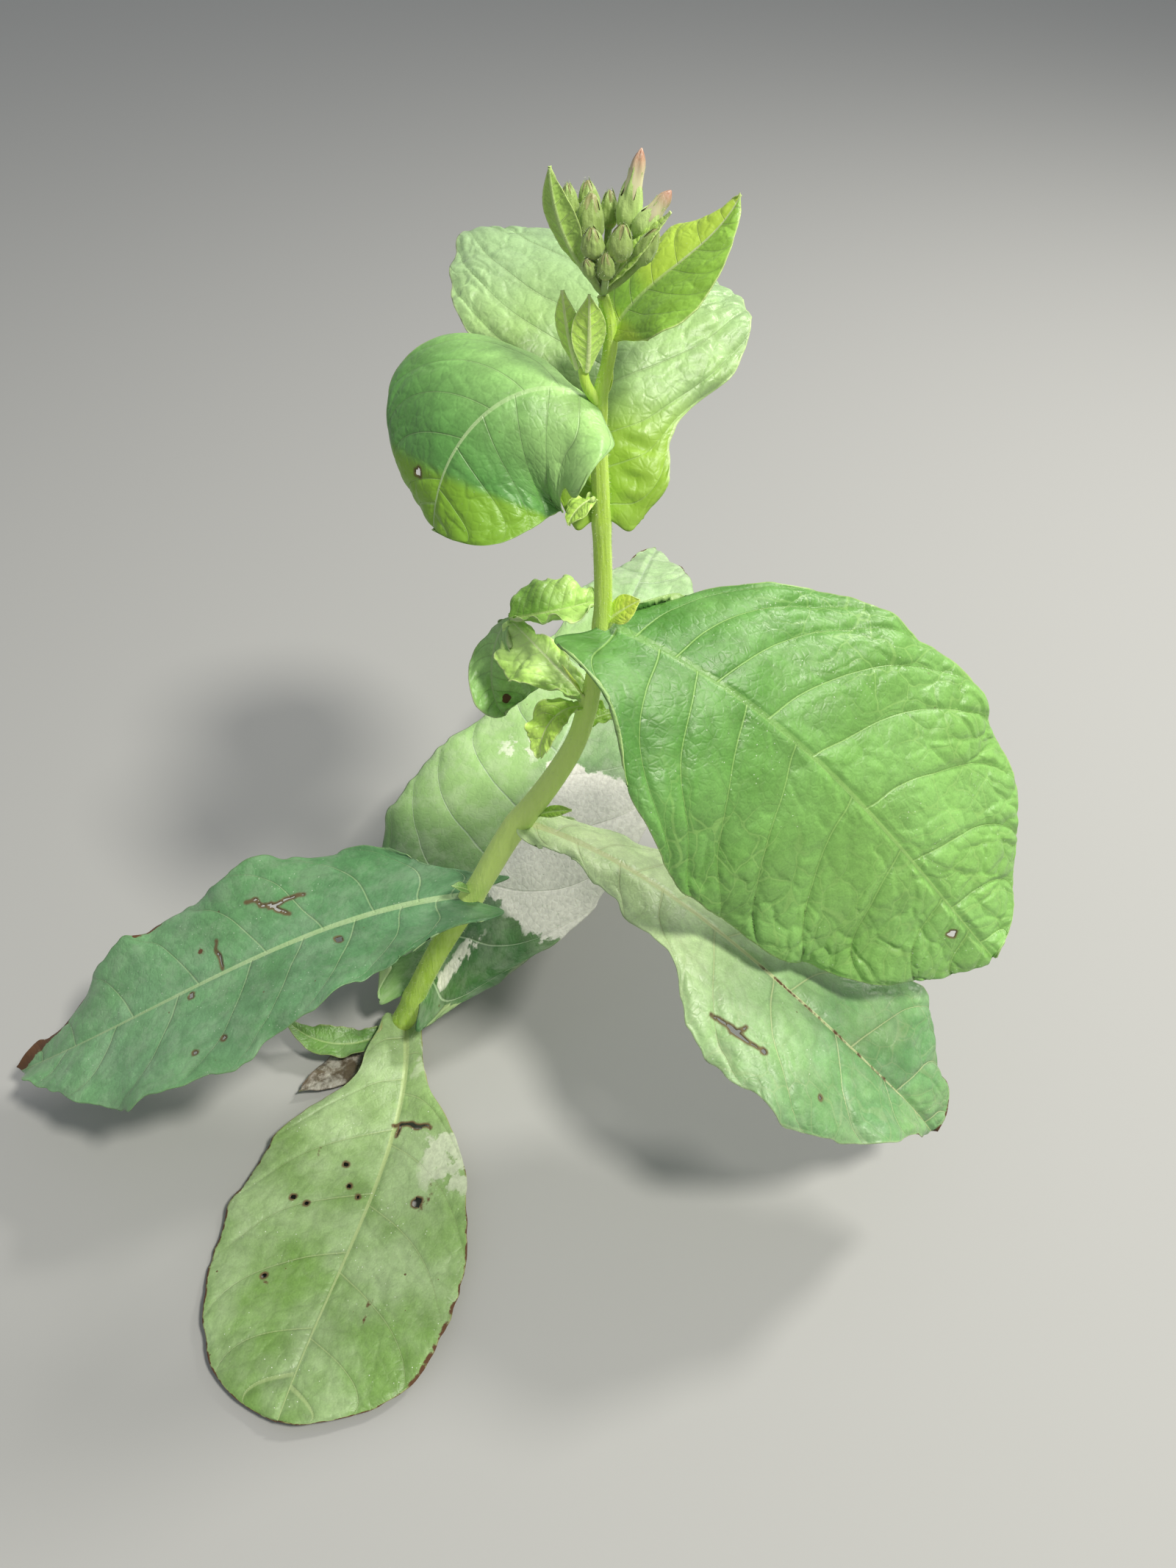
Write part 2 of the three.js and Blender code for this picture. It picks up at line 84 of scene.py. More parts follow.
# Broad leaves, by the same rule as the solids.
# node: height on the stem. len: length along the midrib. az, rise and roll: heading, climb and roll in
# degrees at even steps of the midrib. fold and curl: lift of each half at the midrib and its bend, with
# foldRight and curlRight where the right half differs. left and right: half-widths at STATIONS. lobe: how
# far the base lobes sweep back as a share of len, with lobeLeft where the left one differs. tip: 0.3 for a
# blunt tip to 1.1 for a pointed one. wave: height and number of the margin's waves. cell: size of a cell of
# the mesh. veins: groove depth, quilt height and quilt size. crumple: height and size of the larger folds,
# and the frill of the margin. ragged: unevenness of the margin. pucker: wrinkles of the base. starts: side
# veins where they differ. sharp and creases: height and size of sharp folds.
LEAVES = {
    "ground_leaf_front": dict(
        node=8, len=238, az=[-77, -104, -101], rise=[-2, 0, 1], roll=[-6, 1, 0], fold=[20, 6, 4],
        curl=[6, 7, 8], left=[12, 11, 15, 41, 58, 67, 66, 62, 50], right=[15, 25, 32, 60, 72, 74, 68, 60, 46],
        lobe=0.03, tip=0.5, wave=[1.5, 4], cell=1.1, veins=[0.8, 0.35, 12], crumple=[1.8, 42, 1.2],
        ragged=1.4, pucker=0.8, starts=(0.08, 0.20, 0.34, 0.50, 0.66, 0.82)),
    "ground_leaf_rear": dict(
        node=36, len=420, az=[52, 66, 79], rise=[22, 18, -25], roll=[0, 0, 0], fold=[12, 5, 2],
        curl=[16, 15, 12], left=[22, 57, 84, 84, 54, 44, 38, 27, 16],
        right=[22, 42, 64, 76, 70, 60, 46, 32, 18], lobe=0.05, tip=0.6, wave=[3, 4], cell=1.35,
        veins=[1.4, 0.5, 16], crumple=[3.2, 48, 2.4], ragged=1.6, pucker=1.0),
    "lower_leaf_left": dict(
        node=131, len=305, az=[-179, -163, -195], rise=[-5, -20, -41], roll=[4, -6, -2], fold=[16, 9, 6],
        curl=[8, 6, 5], left=[26, 33, 46, 53, 63, 59, 38, 22, 12], right=[13, 22, 45, 55, 53, 51, 40, 24, 12],
        lobe=0.075, tip=0.9, wave=[4, 3.5], cell=1.1, veins=[0.7, 0.3, 14], crumple=[2.4, 40, 2.4],
        ragged=3.4, pucker=0.6),
    "lower_leaf_right": dict(
        node=192, len=291.5, az=[-12.4, -33.4, 2.6], rise=[-10.4, -24.9, -62.2], roll=[-3.8, -12.1, 25],
        fold=[5, -1, 28], curl=[24, 26, 10], left=[12, 22, 38, 56, 68, 70, 62, 53.5, 30],
        right=[14, 12, 19, 32, 56, 61.5, 41, 20.5, 8], lobe=0, tip=0.42, wave=[4, 4], cell=1.1,
        veins=[1.2, 1.0, 15], crumple=[2.6, 36, 3.4], ragged=2.2, pucker=0.8),
    "crinkled_leaf": dict(
        node=275, len=59, az=[135, 134, 133, 132, 136], rise=[20, 17, 16, 15, 14], roll=[0, 0, 0, 0, 0],
        fold=[24, 10, -4, -20, -34], curl=[20, 26, 30, 34, 36], foldRight=[30, 30, 26, 20, 10],
        curlRight=[20] * 5,
        left=[4, 8, 12, 16, 19, 20, 20, 19, 16], right=[3, 4.5, 6, 7.5, 8, 7, 6, 5, 4],
        lobe=0, tip=0.3, wave=[1.2, 2.5], cell=0.42, veins=[0.6, 0.35, 9], crumple=[1.6, 15, 2.4],
        ragged=2.0, pucker=0.8, sharp=3.2, creases=10),
    "great_leaf_right": dict(
        node=321, len=272, az=[-18, -16, -17], rise=[-13, -43, -47], roll=[5, 42, 40], fold=[4, -4, -6],
        curl=[18, 18, 18], left=[6, 36, 58, 80, 86, 89, 76, 64, 45],
        right=[25, 40, 66, 83, 86, 84, 70, 54, 36], lobe=0.07, lobeLeft=0.012, tip=0.42, wave=[3, 5],
        cell=1.05, veins=[1.5, 1.6, 14], crumple=[2.6, 50, 1.8], ragged=1.2, pucker=0.3),
    "rear_upper_leaf": dict(
        node=374, len=186, az=[88, 88, 92], rise=[60, 22, -62], roll=[0, 8, 10], fold=[16, 6, 2],
        curl=[20, 20, 20], left=[14, 24, 29, 52, 65, 65, 54, 38, 22],
        right=[17, 27, 28, 55, 61, 56, 44, 32, 18], lobe=0.035, tip=0.7, wave=[3, 3], cell=0.8,
        veins=[0.8, 1.1, 11], crumple=[2.0, 30, 2.2], ragged=1.4, pucker=2.4),
    "upper_leaf_left": dict(
        node=424, len=100.2, az=[189.6, 203.6, 194.4], rise=[46.3, -33.4, -84.8], roll=[5.6, -41, -23.3],
        fold=[-5, -10, 7], curl=[29, 32, 29], left=[22, 45, 37, 44, 47, 46, 42, 40, 42],
        right=[8, 20, 38, 43.5, 47, 45, 36, 31, 26], lobe=0.089, tip=0.5, wave=[1.5, 3], cell=0.6,
        veins=[0.45, 0.5, 11], crumple=[1.5, 28, 0.8], ragged=0.8,
        starts=(0.08, 0.2, 0.34, 0.48, 0.64, 0.82)),
    "top_leaf_right": dict(
        node=451, len=66.9, az=[17.8, 19.5, 48.9], rise=[64.5, 31.6, 47.6], roll=[19.7, 11.4, 6.6],
        fold=[20, 12, 6], curl=[17, 24, 16], left=[8, 13, 16, 16.2, 16.1, 17.3, 11.7, 7.3, 6],
        right=[7.4, 16.9, 23.4, 25.6, 22.2, 17, 9.5, 5.8, 4.3], lobe=0, tip=1.1, wave=[1, 2], cell=0.42,
        veins=[0.4, 0.45, 8], crumple=[1.0, 18, 0.9], ragged=0.5, pucker=0.3,
        starts=(0.08, 0.2, 0.34, 0.5, 0.66, 0.84)),
}

# The crinkled leaf's outer parts, from where it is folded: its rear lobe, rolled back to the stem, and its
# tip, hanging behind the front half
FOLDED = {
    "crinkled_lobe": dict(
        len=47, az=[12, 16, 22], rise=[6, 2, 8], roll=[0, 0, 0], fold=[50, 60, 60], curl=[60, 80, 70],
        foldRight=[0, -20, -10], curlRight=[-60, -70, -60], left=[4, 10, 16, 20, 20, 19, 16, 12, 8],
        right=[3, 8, 12, 14, 14, 12, 10, 8, 5], lobe=0, tip=0.6, wave=[2, 3], cell=0.42, veins=[0.6, 0.5, 9],
        crumple=[1.5, 12, 2.6], ragged=2.4, pucker=0.4, sharp=1.6, creases=13),
    "crinkled_tip": dict(
        len=55, az=[190, 205, 250, 290, 320], rise=[-46, -70, -72, -58, -30], roll=[0, 0, 0, 0, 0],
        fold=[-4] * 5, curl=[16] * 5, foldRight=[-4, -4, 0, 4, 8], curlRight=[14] * 5,
        left=[2, 9, 17, 26, 32, 34, 33, 28, 18], right=[3, 8, 12, 14, 13, 12, 11, 9, 7],
        lobe=0, tip=0.5, wave=[1.5, 2], cell=0.5, veins=[0.9, 0.5, 10], crumple=[1.8, 20, 1.8],
        ragged=1.6, pucker=0.2, sharp=1.0, creases=14),
}

# Holes and tears of the broad leaves, each by s along the midrib and v across it. A hole has a radius, a tear
# its two ends and its half-width.
HOLES = {
    "ground_leaf_front": [(0.547, -0.57, 1.7), (0.553, -0.45, 1.5), (0.434, -0.30, 1.6), (0.484, -0.20, 1.3),
                          (0.503, -0.10, 1.2), (0.487, 0.47, 3.4), (0.735, -0.54, 1.5)],
    "lower_leaf_left": [(0.547, 0.08, 1.8), (0.258, 0.23, 2.2), (0.497, 0.67, 1.5), (0.547, 0.70, 1.2)],
    "lower_leaf_right": [(0.575, -0.66, 1.3), (0.69, -0.66, 1.0)],
    "great_leaf_right": [(0.893, -0.17, 2.3)],
    "upper_leaf_left": [(0.82, -0.33, 1.7)],
}
TEARS = {
    "lower_leaf_left": [(0.41, -0.63, 0.365, -0.47, 1.0), (0.368, -0.49, 0.338, -0.32, 0.8),
                        (0.372, -0.46, 0.31, -0.50, 0.9), (0.484, -0.38, 0.478, -0.05, 0.7)],
    "lower_leaf_right": [(0.478, -0.74, 0.565, -0.68, 1.0), (0.52, -0.72, 0.535, -0.60, 0.8)],
    "ground_leaf_front": [(0.305, -0.02, 0.315, 0.62, 1.3), (0.305, 0.10, 0.335, 0.05, 1.0)],
}

# Brown stains of the front ground leaf: s and v of two ends and a radius. v is a share of the width named.
STAINS = ((0.40, 0.52, 0.50, 0.46, 5), (0.41, -0.57, 0.44, -0.55, 3.2), (0.735, -0.60, 0.75, -0.52, 2.4),
          (0.72, 0.35, 0.77, 0.36, 3))
STAINED_WIDTH = 66

# Small leaves: bracts, axil leaflets and basal leaves. Each row is the foot, the length, the headings and
# climbs of base and tip, the greatest half-width, the fold and the finish. SMALL_SHAPE is their outline.
SMALL_SHAPE = np.array([0.3, 0.42, 0.62, 0.9, 1, 0.92, 0.66, 0.42, 0.22])
SMALL_LEAVES = {
    "head_bract_left": ([119.5, -2, 471.5], 44, [190, 230], [50, 86], 6.4, 40, "young"),
    "head_bract_right": ([123, -4.5, 470.5], 36, [-8, -24], [46, 54], 4.6, 36, "bright"),
    "shoot_leaf_left": ([113.7, -3.1, 440], 30, [180, 200], [74, 86], 5.0, 24, "bright"),
    "shoot_leaf_mid": ([116.4, -0.7, 440.4], 15, [90, 90], [84, 78], 3, 34, "young"),
    "shoot_leaf_right": ([117.2, -4.2, 439.5], 30, [-60, -100], [76, 94], 6.6, 24, "bright"),
    "stem_leaflet_rear": ([123.2, 2, 424.5], 15, [45, 45], [70, 70], 3, 20, "yellow"),
    "axil_leaf_yellow": ([126.6, -2, 323.5], 19, [-16, -10], [50, 36], 6.8, 14, "yellow"),
    "axil_leaf_crumpled": ([114.6, -3, 273], 37, [196, 250], [20, -96], 9.5, 34, "bright"),
    "axil_leaf_rear": ([114.5, 3.6, 255], 22, [36, 30], [16, -24], 8, 18, "young"),
    "axil_bract_tall": ([116.2, -2.4, 279.5], 23, [190, 190], [58, 68], 2.3, 30, "yellow"),
    "axil_leaf_oval": ([90.6, -3, 199.5], 20, [-8, -8], [28, 8], 3.4, 12, "young"),
    "axil_leaf_lower": ([53.6, -3, 137.5], 14, [195, 195], [48, 30], 3.8, 26, "mid"),
    "axil_leaf_upper": ([121.4, -2.2, 385], 17, [200, 226], [0, -60], 6.5, 30, "bright"),
    "basal_leaf": ([-4, -3, 7], 76, [228, 138], [-2, 24], 10.5, 18, "mid"),
    "dead_leaf": ([-4, -4.5, 2.6], 70, [226, 214], [-1, 6], 12, 6, "dead"),
}
# Roll in degrees of the small leaves that turn their faces
SMALL_ROLLS = {
    "head_bract_left": 34, "head_bract_right": 35, "shoot_leaf_left": 60, "axil_leaf_yellow": 40,
    "axil_leaf_oval": 20,
}
# Crumple and sharp folds of the small leaves: plain, crumpled and lying ones
SMALL_PLAIN = ([0.35, 7, 0.4], 0.0)
SMALL_CRUMPLED = ([1.6, 7, 2.2], 3.0)
SMALL_LYING = ([2.2, 14, 2.4], 0.0)
SMALL_FOLDS = {
    "axil_leaf_crumpled": SMALL_CRUMPLED, "axil_leaf_rear": SMALL_CRUMPLED, "axil_leaf_upper": SMALL_CRUMPLED,
    "basal_leaf": SMALL_LYING, "dead_leaf": SMALL_LYING,
}

# Flower buds: calyx foot, tip, widest radius, and the share of the length that the petal tube stands out
HEAD = (123, 0, 468)
BUDS = {
    "bud_tall": ((130, 3, 486), (135.5, 5, 513), 4.3, 0.3),
    "bud_right": ((134, -1, 486.5), (145.5, -2, 502), 4.2, 0.36),
    "bud_left": ((117.5, -1, 484), (119, 0.5, 501), 5.1, 0),
    "bud_rear_left": ((118.5, 9, 489), (117.5, 11, 501.5), 3.8, 0),
    "bud_far_left": ((111.5, 6, 489.5), (110.8, 8, 501.5), 3.4, 0),
    "bud_rear": ((124.8, 7.5, 486), (125.2, 9, 499), 3.4, 0),
    "bud_front_right": ((127.8, -8, 481), (129.5, -9.5, 494), 4.5, 0),
    "bud_front_left": ((119.5, -8, 482), (119, -9.5, 493), 4.0, 0),
    "bud_low": ((123.8, -10.5, 476), (123.6, -13.5, 486), 3.0, 0),
    "bud_low_left": ((118.8, -9.5, 476.5), (117, -12, 483.5), 2.4, 0),
    "bud_low_right": ((135, -7, 479.5), (141, -9, 492.5), 3.6, 0),
}
# Outlines of a calyx and of closed and opened petals: shares of the length, and of the widest radius
CALYX_OUTLINE = ((0, 0.08, 0.28, 0.55, 0.8, 1), (0.3, 0.62, 1, 0.94, 0.62, 0.16))
CLOSED_OUTLINE = ((0, 0.15, 0.5, 0.75, 0.9, 0.96, 1), (0.3, 0.8, 0.86, 0.66, 0.4, 0.25, 0.06))
OPENED_OUTLINE = ((0, 0.15, 0.5, 0.7, 0.84, 0.93, 1), (0.3, 0.8, 0.74, 0.60, 0.50, 0.30, 0.05))
# Teeth of a calyx, and cells across each
TEETH = 5
CELLS_PER_TOOTH = 10

# Centre line of the side shoot's stalk
SHOOT = np.array([(121, -1, 426), (117, -3, 434), (115.5, -2.5, 441)])

# Hairs: width of a stem hair, number on a bud, and length and width of a bud hair
STEM_HAIR_WIDTH = 0.09
HAIRS_PER_BUD = 260
BUD_HAIR_SIZE = (0.9, 0.07)

# Camera: the photograph's focal length and height in pixels, the sensor, the place in metres and the tilt
FOCAL_PIXELS = 1600
PHOTO_HEIGHT = 2133
SENSOR_HEIGHT = 24.0
CAMERA_PLACE = (0.11766, -0.42078, 0.63988)
CAMERA_TILT = 45

# Floor and sky, and the lamps by name, place, aim, size, power and tint
FLOOR_RADIUS = 6.0
FLOOR_DROP = 0.0004
SKY = (0.92, 0.96, 1.0)
SKY_STRENGTH = 0.38
LAMPS = (
    ("key", (1.05, -0.67, 2.07), (0.1, 0.0, 0.2), 0.35, 42.0, (1.0, 0.97, 0.88)),
    ("rim", (1.32, 0.85, 1.54), (0.1, 0.0, 0.25), 0.35, 22.0, (1.0, 0.97, 0.9)),
)


class PlantSizes(bpy.types.PropertyGroup):
    """Sizes of the plant's finer forms."""
    blade: bpy.props.FloatProperty(
        name="Blade thickness", description="Thickness of a broad leaf between its veins",
        default=0.00045, min=0.0002, max=0.002, precision=5, unit="LENGTH")
    rib: bpy.props.FloatProperty(
        name="Midrib depth", description="How far the midrib stands out under a leaf a quarter metre long",
        default=0.0036, min=0.001, max=0.008, precision=4, unit="LENGTH")
    relief: bpy.props.FloatProperty(
        name="Leaf relief", description="Multiplier of the veins' and quilts' depth",
        default=1.0, min=0.0, max=2.0, subtype="FACTOR")
    hair: bpy.props.FloatProperty(
        name="Hair length", description="Length of the fine hairs on the stem and buds",
        default=0.0013, min=0.0003, max=0.004, precision=4, unit="LENGTH")
    hair_count: bpy.props.IntProperty(
        name="Hair count", description="Number of fine hairs on the stem", default=9000, min=100, max=40000)


class PlantColours(bpy.types.PropertyGroup):
    """Colours that more than one piece of the plant uses."""
    stem: bpy.props.FloatVectorProperty(
        name="Stem", description="Green of the stem's skin", subtype="COLOR", size=3,
        default=(0.47, 0.71, 0.08), min=0, max=1)
    calyx: bpy.props.FloatVectorProperty(
        name="Calyx", description="Green of the buds' calyxes", subtype="COLOR", size=3,
        default=(0.27, 0.38, 0.10), min=0, max=1)
    petal: bpy.props.FloatVectorProperty(
        name="Petal tube", description="Tan pink of the closed petals", subtype="COLOR", size=3,
        default=(0.46, 0.20, 0.12), min=0, max=1)
    mud: bpy.props.FloatVectorProperty(
        name="Dried mud", description="Pale film of dried mud on the rear ground leaf",
        subtype="COLOR", size=3, default=(0.97, 0.95, 0.86), min=0, max=1)
    withered: bpy.props.FloatVectorProperty(
        name="Withered edge", description="Brown of dead margins and of the rims of holes",
        subtype="COLOR", size=3, default=(0.11, 0.05, 0.022), min=0, max=1)
    floor: bpy.props.FloatVectorProperty(
        name="Floor", description="Plain pale floor", subtype="COLOR", size=3,
        default=(0.42, 0.42, 0.41), min=0, max=1)


def sizes():
    """The plant's sizes in the open scene."""
    return bpy.context.scene.plant_sizes


def colours():
    """The plant's colours in the open scene."""
    return bpy.context.scene.plant_colours


# Curves, noise and cells

def smooth_at(knots, values, s):
    """A smooth curve through the values given at the knots, read at s."""
    k = np.asarray(knots, float)
    v = np.asarray(values, float)
    i = np.clip(np.searchsorted(k, s, side="left") - 1, 0, len(k) - 2)

    def slope(j):
        a = np.maximum(j - 1, 0)
        b = np.minimum(j + 1, len(k) - 1)
        return (v[b] - v[a]) / (k[b] - k[a])

    step = k[i + 1] - k[i]
    t = (s - k[i]) / step
    t2 = t * t
    t3 = t2 * t
    return ((2 * t3 - 3 * t2 + 1) * v[i] + (t3 - 2 * t2 + t) * step * slope(i)
            + (3 * t2 - 2 * t3) * v[i + 1] + (t3 - t2) * step * slope(i + 1))


def along(values, s):
    """A leaf's list of values at even steps, read at s: three give a parabola, more a smooth curve."""
    if len(values) > 3:
        return smooth_at(np.arange(len(values)) / (len(values) - 1), values, s)
    base, middle, tip = values
    return base * (1 - s) * (1 - 2 * s) + 4 * middle * s * (1 - s) + tip * s * (2 * s - 1)


def ease(low, high, x):
    """0 below low, 1 above high, smooth between. low may be the larger one."""
    t = np.clip((x - low) / (high - low), 0, 1)
    return t * t * (3 - 2 * t)


def chance(x, y, seed):
    """A fixed random number from 0 to 1 for each whole place."""
    q = np.sin(x * 127.1 + y * 311.7 + seed * 74.7) * 43758.5453
    return q - np.floor(q)


def wander(x, y, seed):
    """Smooth noise from -1 to 1 over a plane."""
    ix = np.floor(x)
    iy = np.floor(y)
    fx = x - ix
    fy = y - iy
    fx = fx * fx * fx * (fx * (fx * 6 - 15) + 10)
    fy = fy * fy * fy * (fy * (fy * 6 - 15) + 10)
    low = chance(ix, iy, seed) * (1 - fx) + chance(ix + 1, iy, seed) * fx
    high = chance(ix, iy + 1, seed) * (1 - fx) + chance(ix + 1, iy + 1, seed) * fx
    return 2 * (low * (1 - fy) + high * fy) - 1


def lap(angle, across, z, seed):
    """Smooth noise from -1 to 1 round a limb: across is its detail round, z its place along."""
    return wander(across * np.cos(angle) + 0.8 * z, across * np.sin(angle) - 0.6 * z, seed)


def cells(x, y, seed):
    """Distance to the edge of the nearest scattered point's cell, and that cell's random number."""
    ix = np.floor(x)
    iy = np.floor(y)
    first = np.full(np.shape(x), 9.0)
    second = np.full(np.shape(x), 9.0)
    mark = np.zeros(np.shape(x))
    for dx in (-1, 0, 1):
        for dy in (-1, 0, 1):
            cx = ix + dx
            cy = iy + dy
            px = cx + 0.5 + 0.72 * (chance(cx, cy, seed) - 0.5)
            py = cy + 0.5 + 0.72 * (chance(cx, cy, seed + 3) - 0.5)
            far = np.hypot(x - px, y - py)
            nearer = far < first
            second = np.where(nearer, first, np.minimum(second, far))
            mark = np.where(nearer, chance(cx, cy, seed + 7), mark)
            first = np.where(nearer, far, first)
    return (second - first) / 2, mark


# The rule of a leaf blade, as in the solids

def leaf_axes(leaf, s):
    """The midrib's direction, the blade's left and the blade's up at s."""
    az = np.radians(along(leaf["az"], s))
    rise = np.radians(along(leaf["rise"], s))
    roll = np.radians(along(leaf["roll"], s))
    ahead = np.stack([np.cos(rise) * np.cos(az), np.cos(rise) * np.sin(az), np.sin(rise)], -1)
    level = np.stack([-np.sin(az), np.cos(az), 0 * az], -1)
    over = np.cross(ahead, level)
    c = np.cos(roll)[..., None]
    d = np.sin(roll)[..., None]
    return ahead, level * c + over * d, over * c - level * d


def midrib(leaf, foot):
    """The midrib as points at even steps of s, from a fifth of its length behind the foot to the tip."""
    step = leaf["len"] / RIB_STEPS
    ahead = leaf_axes(leaf, (np.arange(RIB_STEPS) + 0.5) / RIB_STEPS)[0] * step
    points = np.vstack([[foot], foot + np.cumsum(ahead, 0)])
    first = leaf_axes(leaf, np.array([0.0]))[0][0]
    behind = foot - first * step * np.arange(RIB_BEHIND, 0, -1)[:, None]
    return np.vstack([behind, points])


def half_width(leaf, s, side):
    """Half-width of the blade at s on one side, drawn in to its tip."""
    wide = np.where(side > 0, smooth_at(STATIONS, leaf["left"], s), smooth_at(STATIONS, leaf["right"], s))
    drawn = np.power(np.maximum(1 - np.power(np.clip(s, 0, 1), 12), 0), leaf["tip"])
    return np.maximum(wide * drawn, LEAST_HALF_WIDTH)


def blade_point(leaf, rib, s, v):
    """The blade's surface: s from base to tip, v from -1 at the right margin to 1 at the left."""
    side = np.where(v < 0, -1.0, 1.0)
    u = np.abs(v)
    width = half_width(leaf, s, side)
    lobe = np.where(side < 0, leaf["lobe"], leaf.get("lobeLeft", leaf["lobe"]))
    swept = s - lobe * np.sin(2.3 * u * u) * np.power(1 - np.clip(s, 0, 1), 4)
    corner = 1 - np.sqrt(1 - np.clip((u - 0.5) / 0.5, 0, 1) ** 2)
    blunt = 0.9 * np.where(side < 0, leaf["right"][0], leaf["left"][0]) / leaf["len"]
    swept = swept + np.minimum(blunt, 0.07) * corner * np.power(1 - np.clip(s, 0, 1), 12)
    _, left, up = leaf_axes(leaf, np.clip(swept, 0, 1))
    lift = np.where(side < 0, along(leaf.get("foldRight", leaf["fold"]), s), along(leaf["fold"], s))
    turn = np.where(side < 0, along(leaf.get("curlRight", leaf["curl"]), s), along(leaf["curl"], s))
    lift = np.radians(lift)
    bend = np.radians(turn)
    bend = np.where(np.abs(bend) < 0.01, 0.01, bend)
    reach = width / bend
    out = reach * (np.sin(lift) - np.sin(lift - bend * u))
    high = reach * (np.cos(lift - bend * u) - np.cos(lift))
    wave, count = leaf["wave"]
    high = high + wave * u * u * np.sin(2 * np.pi * count * s + side) * np.minimum(1, 4 * s)
    place = np.clip(swept * RIB_STEPS + RIB_BEHIND, 0, len(rib) - 1.001)
    i = np.floor(place).astype(int)
    f = (place - i)[..., None]
    spine = rib[i] * (1 - f) + rib[i + 1] * f
    return spine + left * (side * out)[..., None] + up * high[..., None]


def blade_normal(leaf, rib, s, v):
    """The blade's upward normal at s, v."""
    step = NORMAL_STEP
    a = np.clip(s, step, 1 - step)
    b = np.clip(v, step - 1, 1 - step)
    ahead = blade_point(leaf, rib, a + step, b) - blade_point(leaf, rib, a - step, b)
    left = blade_point(leaf, rib, a, b + step) - blade_point(leaf, rib, a, b - step)
    normal = np.cross(ahead, left)
    return normal / np.maximum(np.linalg.norm(normal, axis=-1), 1e-9)[..., None]


# Meshes

def grid_mesh(name, across, length):
    """A flat grid of cells as a mesh, with each corner's place across (-1 to 1) and along (0 to 1)."""
    bm = bmesh.new()
    bmesh.ops.create_grid(bm, x_segments=across, y_segments=length, size=1.0)
    mesh = bpy.data.meshes.new(name)
    bm.to_mesh(mesh)
    bm.free()
    place = np.empty(len(mesh.vertices) * 3)
    mesh.vertices.foreach_get("co", place)
    place = place.reshape(-1, 3)
    return mesh, place[:, 0], (place[:, 1] + 1) / 2


def set_points(mesh, points):
    """Moves a mesh's corners to points given in millimetres."""
    mesh.vertices.foreach_set("co", (points * MM).astype(np.float32).ravel())
    mesh.update()


def mark(mesh, name, values):
    """Writes a value or a vector on each corner of a mesh."""
    kind = "FLOAT_VECTOR" if values.ndim > 1 else "FLOAT"
    layer = mesh.attributes.new(name, kind, "POINT")
    layer.data.foreach_set("vector" if values.ndim > 1 else "value", values.astype(np.float32).ravel())


def frame_nodes():
    """Names of the solids' nodes that leaves stand for."""
    return set(LEAVES) | set(SMALL_LEAVES)


def new_piece(name, mesh, nodes=()):
    """Puts a mesh in the scene as a piece that rides on the plant and stands for the nodes named."""
    if not mesh.polygons:
        raise RuntimeError(name + " came out empty")
    piece = bpy.data.objects.new(name, mesh)
    bpy.context.scene.collection.objects.link(piece)
    mesh.shade_smooth()
    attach(piece, "root")
    if nodes:
        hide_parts(*nodes)
    return piece


def gap_field(name, leaf, x, y, seed):
    """Distance in millimetres outside the nearest hole or tear of a leaf, negative inside it."""
    field = np.full(x.shape, FAR_FROM_GAP)
    for i, (s, v, r) in enumerate(HOLES.get(name, ())):
        hx = s * leaf["len"]
        hy = v * float(half_width(leaf, np.array(s), np.sign(v)))
        turn = np.arctan2(y - hy, x - hx)
        ragged = 0.85 * r * (1 + 0.3 * wander(turn * 1.3 + 9, np.full(x.shape, i * 3.7), seed + i))
        field = np.minimum(field, np.hypot(x - hx, y - hy) - ragged)
    for i, (s1, v1, s2, v2, w) in enumerate(TEARS.get(name, ())):
        ax = s1 * leaf["len"]
        ay = v1 * float(half_width(leaf, np.array(s1), np.sign(v1)))
        bx = s2 * leaf["len"]
        by = v2 * float(half_width(leaf, np.array(s2), np.sign(v2)))
        long = math.hypot(bx - ax, by - ay)
        t = share_along(x, y, ax, ay, bx, by)
        zig = 1.6 * wander(t * long / 5, np.full(x.shape, i * 5.3), seed + 20 + i)
        px = ax + t * (bx - ax) - zig * (by - ay) / long
        py = ay + t * (by - ay) + zig * (bx - ax) / long
        uneven = 0.8 + 0.5 * wander(t * long / 4, t * 0 + i, seed + 40)
        thick = 0.65 * w * (0.35 + np.sin(np.pi * t) * uneven)
        field = np.minimum(field, np.hypot(x - px, y - py) - thick)
    return field


